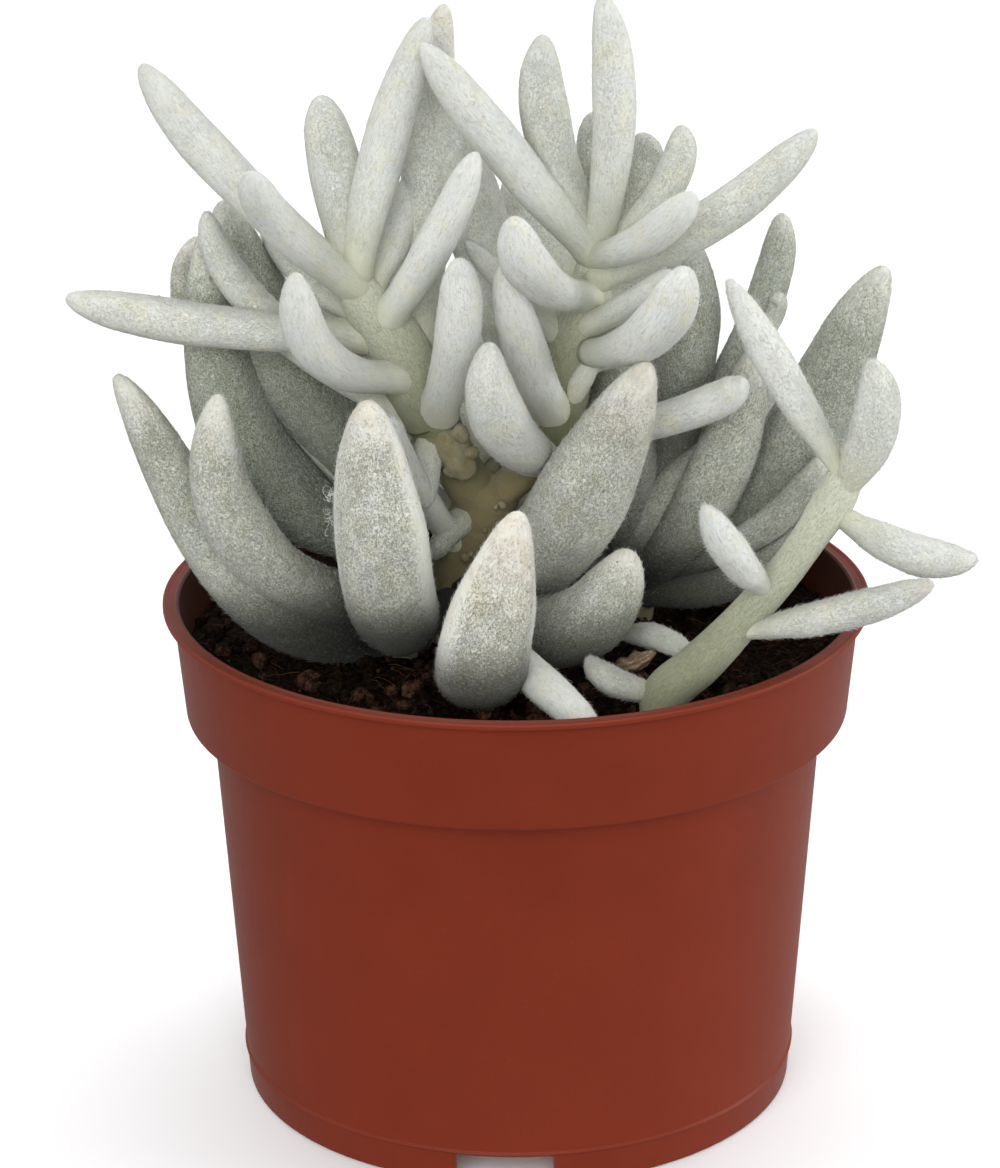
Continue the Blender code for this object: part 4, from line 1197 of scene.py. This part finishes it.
def felt_paint():
    """White hairs pressed over a green skin. Pits between the hairs show the skin: faint on young leaves,
    deep on old ones, and on bare leaves the skin shows with single white strands over it. Old margins and
    tips stay closed and pale, old tips blush, the heel takes the stem's cream green, soil and painted shade
    darken the low parts near the soil, and painted shade darkens old leaves towards the heel."""
    p = Paint("white_felt")
    names = ("along", "margin", "age", "bare", "blush", "tone", "root", "dirt")
    along, margin, age, bare, blush, tone, root, dirt = (p.value(name) for name in names)
    grown = p.between(age, 0.5, 0.9)
    bare = p.sum((p.between(along, 0.5, 0.08), grown, 0.6), bare)
    pits = p.noise(PIT_SIZE, 3, 0.85, 1.5)
    weave = p.streaks(*WEAVE_SIZE, 3, 0.65, 1.0)
    patch = p.noise(PATCH_SIZE, 3, 0.6)
    cover = p.sum((pits, 0.72), (weave, 0.28))
    rim = p.between(p.sum(margin, (patch, 0.6)), 0.62, 1.1)
    closed = p.times(p.maths("MAXIMUM", rim, p.between(along, 0.84, 1.0)), p.between(age, 0.2, 0.8))
    uneven = p.times(p.sum(patch, -0.5), 0.12)
    open_at = p.sum((age, 0.045), (bare, 0.085), (dirt, 0.05), (closed, -0.10), uneven, 0.385)
    white = p.between(cover, open_at, p.sum(open_at, 0.07))
    depth = p.sum((age, 0.60), (bare, 0.28), (closed, -0.24), 0.20)
    gap = p.maths("MULTIPLY", depth, p.maths("SUBTRACT", 1.0, white), clamp=True)
    tint = p.times(blush, p.between(along, 0.72, 0.97), p.between(patch, 0.38, 0.6, 0.3, 1.0))
    colour = p.mix(gap, felt_hair_colour(p, age, bare, tint), p.mix(bare, *LEAF_SKIN))
    colour = add_strands(p, colour, age, bare)
    colour = p.mix(p.times(p.between(along, 0.4, 0.0), p.between(age, 0, 1, 0.55, 0.3)), colour, LEAF_BASE)
    colour = p.mix(p.times(root, 0.75), colour, LEAF_HEEL)
    # Soil and painted shade darken the low parts of old leaves near the soil
    colour = p.mix(p.times(dirt, p.between(pits, 0.36, 0.60, 1.0, 0.6), 0.95), colour, SOIL_AND_SHADE_DARK)
    # Painted shade: old leaves grow darker towards the heel, and soil with painted shade darkens their low
    # parts
    shade = p.times(p.between(along, 0.55, 0.1), grown)
    lift = p.sum((tone, 0.03), (bare, -0.06), (shade, -0.80), (dirt, -0.20), 1.05)
    grey = p.add("ShaderNodeCombineColor", {0: lift, 1: lift, 2: lift}).outputs[0]
    colour = add_specks(p, p.mix(1.0, colour, grey, "MULTIPLY"), age, tint)
    pile = p.times(white, p.sum((age, 0.35), 0.15))
    normal = p.bump(p.sum((cover, 0.8), (p.noise(0.16, 2, 0.6), 0.3), pile), 0.22, 0.8)
    soft = {"Sheen_Weight": 0.15, "Sheen_Roughness": 0.5, "Sheen_Tint": (1, 1, 1, 1)}
    return p.finish(colour, 0.95, normal, Specular_IOR_Level=0.08, **soft)


# Colours of single hairs: at low and high tone, the palest, and darkened by soil and painted shade
HAIR_COLOURS = ((0.70, 0.71, 0.69), (0.62, 0.62, 0.54))
PALEST_HAIR = (0.74, 0.75, 0.73)
SOILED_SHADED_HAIR = (0.12, 0.11, 0.09)


def hair_paint():
    """Single white hairs, a little yellower where the tone is high."""
    p = Paint("white_hairs")
    colour = p.mix(p.value("tone"), *HAIR_COLOURS)
    colour = p.mix(p.noise(6.0), colour, PALEST_HAIR)
    # Soil and painted shade on hairs near the soil
    colour = p.mix(p.times(p.value("dirt"), 0.85), colour, SOILED_SHADED_HAIR)
    return p.finish(colour, 0.8, Specular_IOR_Level=0.2)


# Colours of the stems
GREEN_BARK, BROWN_BARK = (0.15, 0.16, 0.08), (0.17, 0.125, 0.06)
CREAM_FELT, TAN_FELT = (0.56, 0.58, 0.47), (0.205, 0.175, 0.09)
# Olive of the lower stem on young stems and on branches, darkened to paint the shade under the leaves
OLIVE_BARK_AND_SHADE = ((0.29, 0.30, 0.20), (0.11, 0.12, 0.05))


def bark_paint():
    """Stem skin under felt: cream green on young stems and tan on old ones, paler towards the crown and
    darker olive lower down, partly painted shade under the leaves. Fibres lie along it, and pits between them
    show olive or brown skin."""
    p = Paint("felted_bark")
    age, along = p.value("age"), p.value("along")
    grain = p.noise(0.32, 4, 0.7)
    fibre = p.streaks(0.2, 1.3, 3, 0.6, 0.6)
    patch = p.noise(4.0, 3, 0.6)
    old = p.between(p.sum(age, (patch, 0.7)), 0.55, 1.15)
    # Darker olive lower down the stem: partly its own colour, partly painted shade under the leaves
    low = p.between(p.sum(along, (patch, 0.3)), 1.05, 0.50)
    shade = p.mix(p.between(age, 0.1, 0.3), *OLIVE_BARK_AND_SHADE)
    felt = p.mix(old, p.mix(low, CREAM_FELT, shade), TAN_FELT)
    open_at = p.sum((low, 0.04), 0.34)
    cover = p.between(p.sum((grain, 0.5), (fibre, 0.5)), open_at, p.sum(open_at, 0.20))
    colour = p.mix(p.between(cover, 0, 1, 0.3, 0.97), p.mix(old, GREEN_BARK, BROWN_BARK), felt)
    normal = p.bump(p.sum(grain, fibre), 0.25, 0.7)
    return p.finish(colour, 0.95, normal, Sheen_Weight=0.12, Sheen_Roughness=0.6, Specular_IOR_Level=0.08)


# Colours of the pot
TERRACOTTA = ((0.146, 0.0198, 0.0075), (0.178, 0.0255, 0.0098))
PALE_DUST = (0.4, 0.2, 0.14)
# Painted shade on the top of the lip, then soil with painted shade on the inside above the soil
LIP_SHADE = (0.05, 0.012, 0.006)
INSIDE_SHADE = (0.014, 0.008, 0.005)


def plastic_paint():
    """Red-brown moulded plastic: faint cloudiness, a little dust and fine flow lines. The top of the lip is
    darker with painted shade, and the inside above the soil is darker from soil and painted shade."""
    p = Paint("terracotta_plastic")
    cloud = p.noise(14.0, 3, 0.5)
    dust = p.between(p.noise(0.8, 4, 0.7), 0.6, 0.74)
    colour = p.mix(p.times(dust, 0.05), p.mix(cloud, *TERRACOTTA), PALE_DUST)
    x, y, z = p.add("ShaderNodeSeparateXYZ", {0: p.place}).outputs
    radius = p.maths("SQRT", p.sum((x, x), (y, y)))
    slope = (COLLAR_TOP_RADIUS - COLLAR_FOOT_RADIUS) / (POT_HEIGHT - COLLAR_FOOT_HEIGHT)
    wall_start = (COLLAR_FOOT_RADIUS - 0.5 * WALL_THICKNESS - slope * COLLAR_FOOT_HEIGHT) * MM
    wall_middle = p.sum((z, slope), wall_start)
    above_ledge = p.between(z, LEDGE_TOP * MM, (LEDGE_TOP + 1) * MM)
    # Soil and painted shade on the inside wall above the soil
    inside = p.times(p.between(p.maths("SUBTRACT", wall_middle, radius), -0.0001, 0.0002), above_ledge)
    # Painted shade on the top of the lip
    on_top = p.between(z, (POT_HEIGHT - 0.7) * MM, (POT_HEIGHT - 0.3) * MM)
    lip = p.times(on_top, p.between(radius, (LIP_RADIUS - 0.5) * MM, (LIP_RADIUS - 1.9) * MM))
    colour = p.mix(p.times(lip, 0.4), colour, LIP_SHADE)
    colour = p.mix(p.times(inside, p.between(cloud, 0.3, 0.7, 0.95, 0.7)), colour, INSIDE_SHADE)
    rough = p.sum((p.noise(3.0, 4, 0.6), 0.12), 0.36)
    normal = p.bump(p.sum((p.noise(0.5, 3, 0.6), 0.5), (p.streaks(1.2, 30.0, 2, 0.5), 0.6)), 0.02, 0.4)
    soft = {"Sheen_Weight": 0.05, "Sheen_Roughness": 0.35, "Sheen_Tint": (1.0, 0.62, 0.48, 1)}
    return p.finish(colour, rough, normal, Specular_IOR_Level=0.12, **soft)


# Colours of the peat, its crumbs and fibres, the dry leaf and the studio
PEAT_COLOURS = ((0.003, 0.002, 0.0015), (0.020, 0.012, 0.007))
CRUMB_COLOURS = ((0.012, 0.006, 0.004), (0.095, 0.044, 0.026))
PEAT_FIBRE = (0.085, 0.045, 0.024)
DRY_COLOURS = ((0.06, 0.032, 0.016), (0.27, 0.185, 0.11))
DRY_FELT = (0.5, 0.47, 0.4)
STUDIO_COLOURS = ((0.90, 0.90, 0.90), (0.93, 0.93, 0.93))


def peat_paint():
    """Moist peat: almost black, with red-brown crumbs and tan fibres by each shell's tone."""
    p = Paint("peat")
    tone = p.value("tone")
    grain = p.noise(0.9, 5, 0.7)
    colour = p.mix(p.between(grain, 0.44, 0.64), *PEAT_COLOURS)
    crumb = p.mix(p.between(grain, 0.4, 0.62), *CRUMB_COLOURS)
    colour = p.mix(p.between(tone, 0.5, 0.95, 0.0, 0.9), colour, crumb)
    colour = p.mix(p.between(tone, 1.1, 2.0, 0.0, 0.7), colour, PEAT_FIBRE)
    normal = p.bump(p.noise(0.35, 4, 0.7), 0.25, 0.9)
    return p.finish(colour, p.between(grain, 0.35, 0.65, 0.95, 0.7), normal, Specular_IOR_Level=0.03)


def dry_paint():
    """Shrivelled brown leaf with darker wrinkles and a trace of grey felt."""
    p = Paint("dry_leaf_brown")
    streak = p.streaks(0.5, 2.5, 4, 0.65)
    colour = p.mix(p.between(streak, 0.38, 0.62), *DRY_COLOURS)
    colour = p.mix(p.between(p.noise(0.5, 3, 0.7), 0.55, 0.7, 0, 0.5), colour, DRY_FELT)
    return p.finish(colour, 0.85, p.bump(streak, 0.3, 0.8))


def studio_paint():
    """White with faint wide clouds."""
    p = Paint("studio_white")
    return p.finish(p.mix(p.noise(160.0, 2, 0.5), *STUDIO_COLOURS), 0.9)


# Studio


def make_backdrop():
    """A floor that sweeps up into a wall behind: straight, then a quarter turn, then straight up."""
    bend = np.linspace(0, np.pi / 2, 24)
    wall = BEND_START + BEND_RADIUS
    y = np.concatenate([[FLOOR_FRONT, 0.0], BEND_START + BEND_RADIUS * np.sin(bend), [wall]])
    z = np.concatenate([[0, 0], BEND_RADIUS - BEND_RADIUS * np.cos(bend), [WALL_TOP]]) - FLOOR_DROP
    x = np.array([-SWEEP_HALF_WIDTH, SWEEP_HALF_WIDTH])
    points = np.stack(np.broadcast_arrays(x[None, :], y[:, None], z[:, None]), -1).reshape(-1, 3)
    k = np.arange(len(y) - 1)[:, None] * 2
    mesh = bpy.data.meshes.new("studio_sweep")
    mesh.from_pydata(points.tolist(), [], (k + [0, 1, 3, 2]).tolist())
    mesh.shade_smooth()
    mesh.materials.append(studio_paint())
    sweep = bpy.data.objects.new("studio_sweep", mesh)
    bpy.context.scene.collection.objects.link(sweep)
    sweep.visible_diffuse = False
    sweep.visible_glossy = False


def add_light(name, place, aim, size, power):
    """A rectangular soft box that faces its aim."""
    data = bpy.data.lights.new(name, "AREA")
    data.shape = "RECTANGLE"
    data.size, data.size_y = size
    data.energy = power
    light = bpy.data.objects.new(name, data)
    light.location = place
    light.rotation_euler = (Vector(aim) - Vector(place)).to_track_quat("-Z", "Y").to_euler()
    bpy.context.scene.collection.objects.link(light)


def light_studio():
    """Even light from all round, dimmer below the horizon and overhead and a little brighter on the right,
    with a wide soft box in front, one at each side, and one that whitens the wall."""
    world = bpy.data.worlds.new("studio_air")
    world.use_nodes = True
    tree = world.node_tree
    way = add_node(tree, "ShaderNodeTexCoord").outputs["Generated"]
    x, _, z = add_node(tree, "ShaderNodeSeparateXYZ", {0: way}).outputs
    horizon = map_range(tree, z, *HORIZON_LIGHT)
    lean = add_node(tree, "ShaderNodeMath", {0: x, 1: RIGHT_LIGHT, 2: horizon}, operation="MULTIPLY_ADD")
    total = add_node(tree, "ShaderNodeMath", {0: lean.outputs[0], 1: map_range(tree, z, *CROWN_LIGHT)})
    feed(tree, tree.nodes["Background"], "Strength", total.outputs[0])
    feed(tree, tree.nodes["Background"], "Color", AIR_COLOUR)
    bpy.context.scene.world = world
    bpy.context.scene.view_settings.view_transform = "Standard"
    for row in LIGHTS:
        add_light(*row)


def make_camera():
    """Stands off its target by its distance, after a tilt from straight down and a slight roll. The lens
    follows from the focal length in pixels of the photograph."""
    data = bpy.data.cameras.new("photo_camera")
    data.sensor_width = SENSOR_WIDTH
    data.lens = FOCAL_PIXELS * SENSOR_WIDTH / LONG_SIDE_PIXELS
    data.clip_start, data.clip_end = 0.05, 20.0
    turn = Matrix.Rotation(math.pi / 2 - CAMERA_RISE, 4, "X") @ Matrix.Rotation(CAMERA_ROLL, 4, "Z")
    stand_off = Matrix.Translation((0, 0, CAMERA_DISTANCE * MM))
    camera = bpy.data.objects.new("photo_camera", data)
    camera.matrix_world = Matrix.Translation(Vector(CAMERA_TARGET) * MM) @ turn @ stand_off
    bpy.context.scene.collection.objects.link(camera)
    bpy.context.scene.camera = camera


def main():
    """Every piece, then the studio round them."""
    paints = felt_paint(), hair_paint(), bark_paint()
    for node in PLANTS:
        make_plant(node, *paints)
    make_pot(plastic_paint())
    make_soil(peat_paint())
    make_dry_leaf(dry_paint())
    make_backdrop()
    light_studio()
    make_camera()


main()
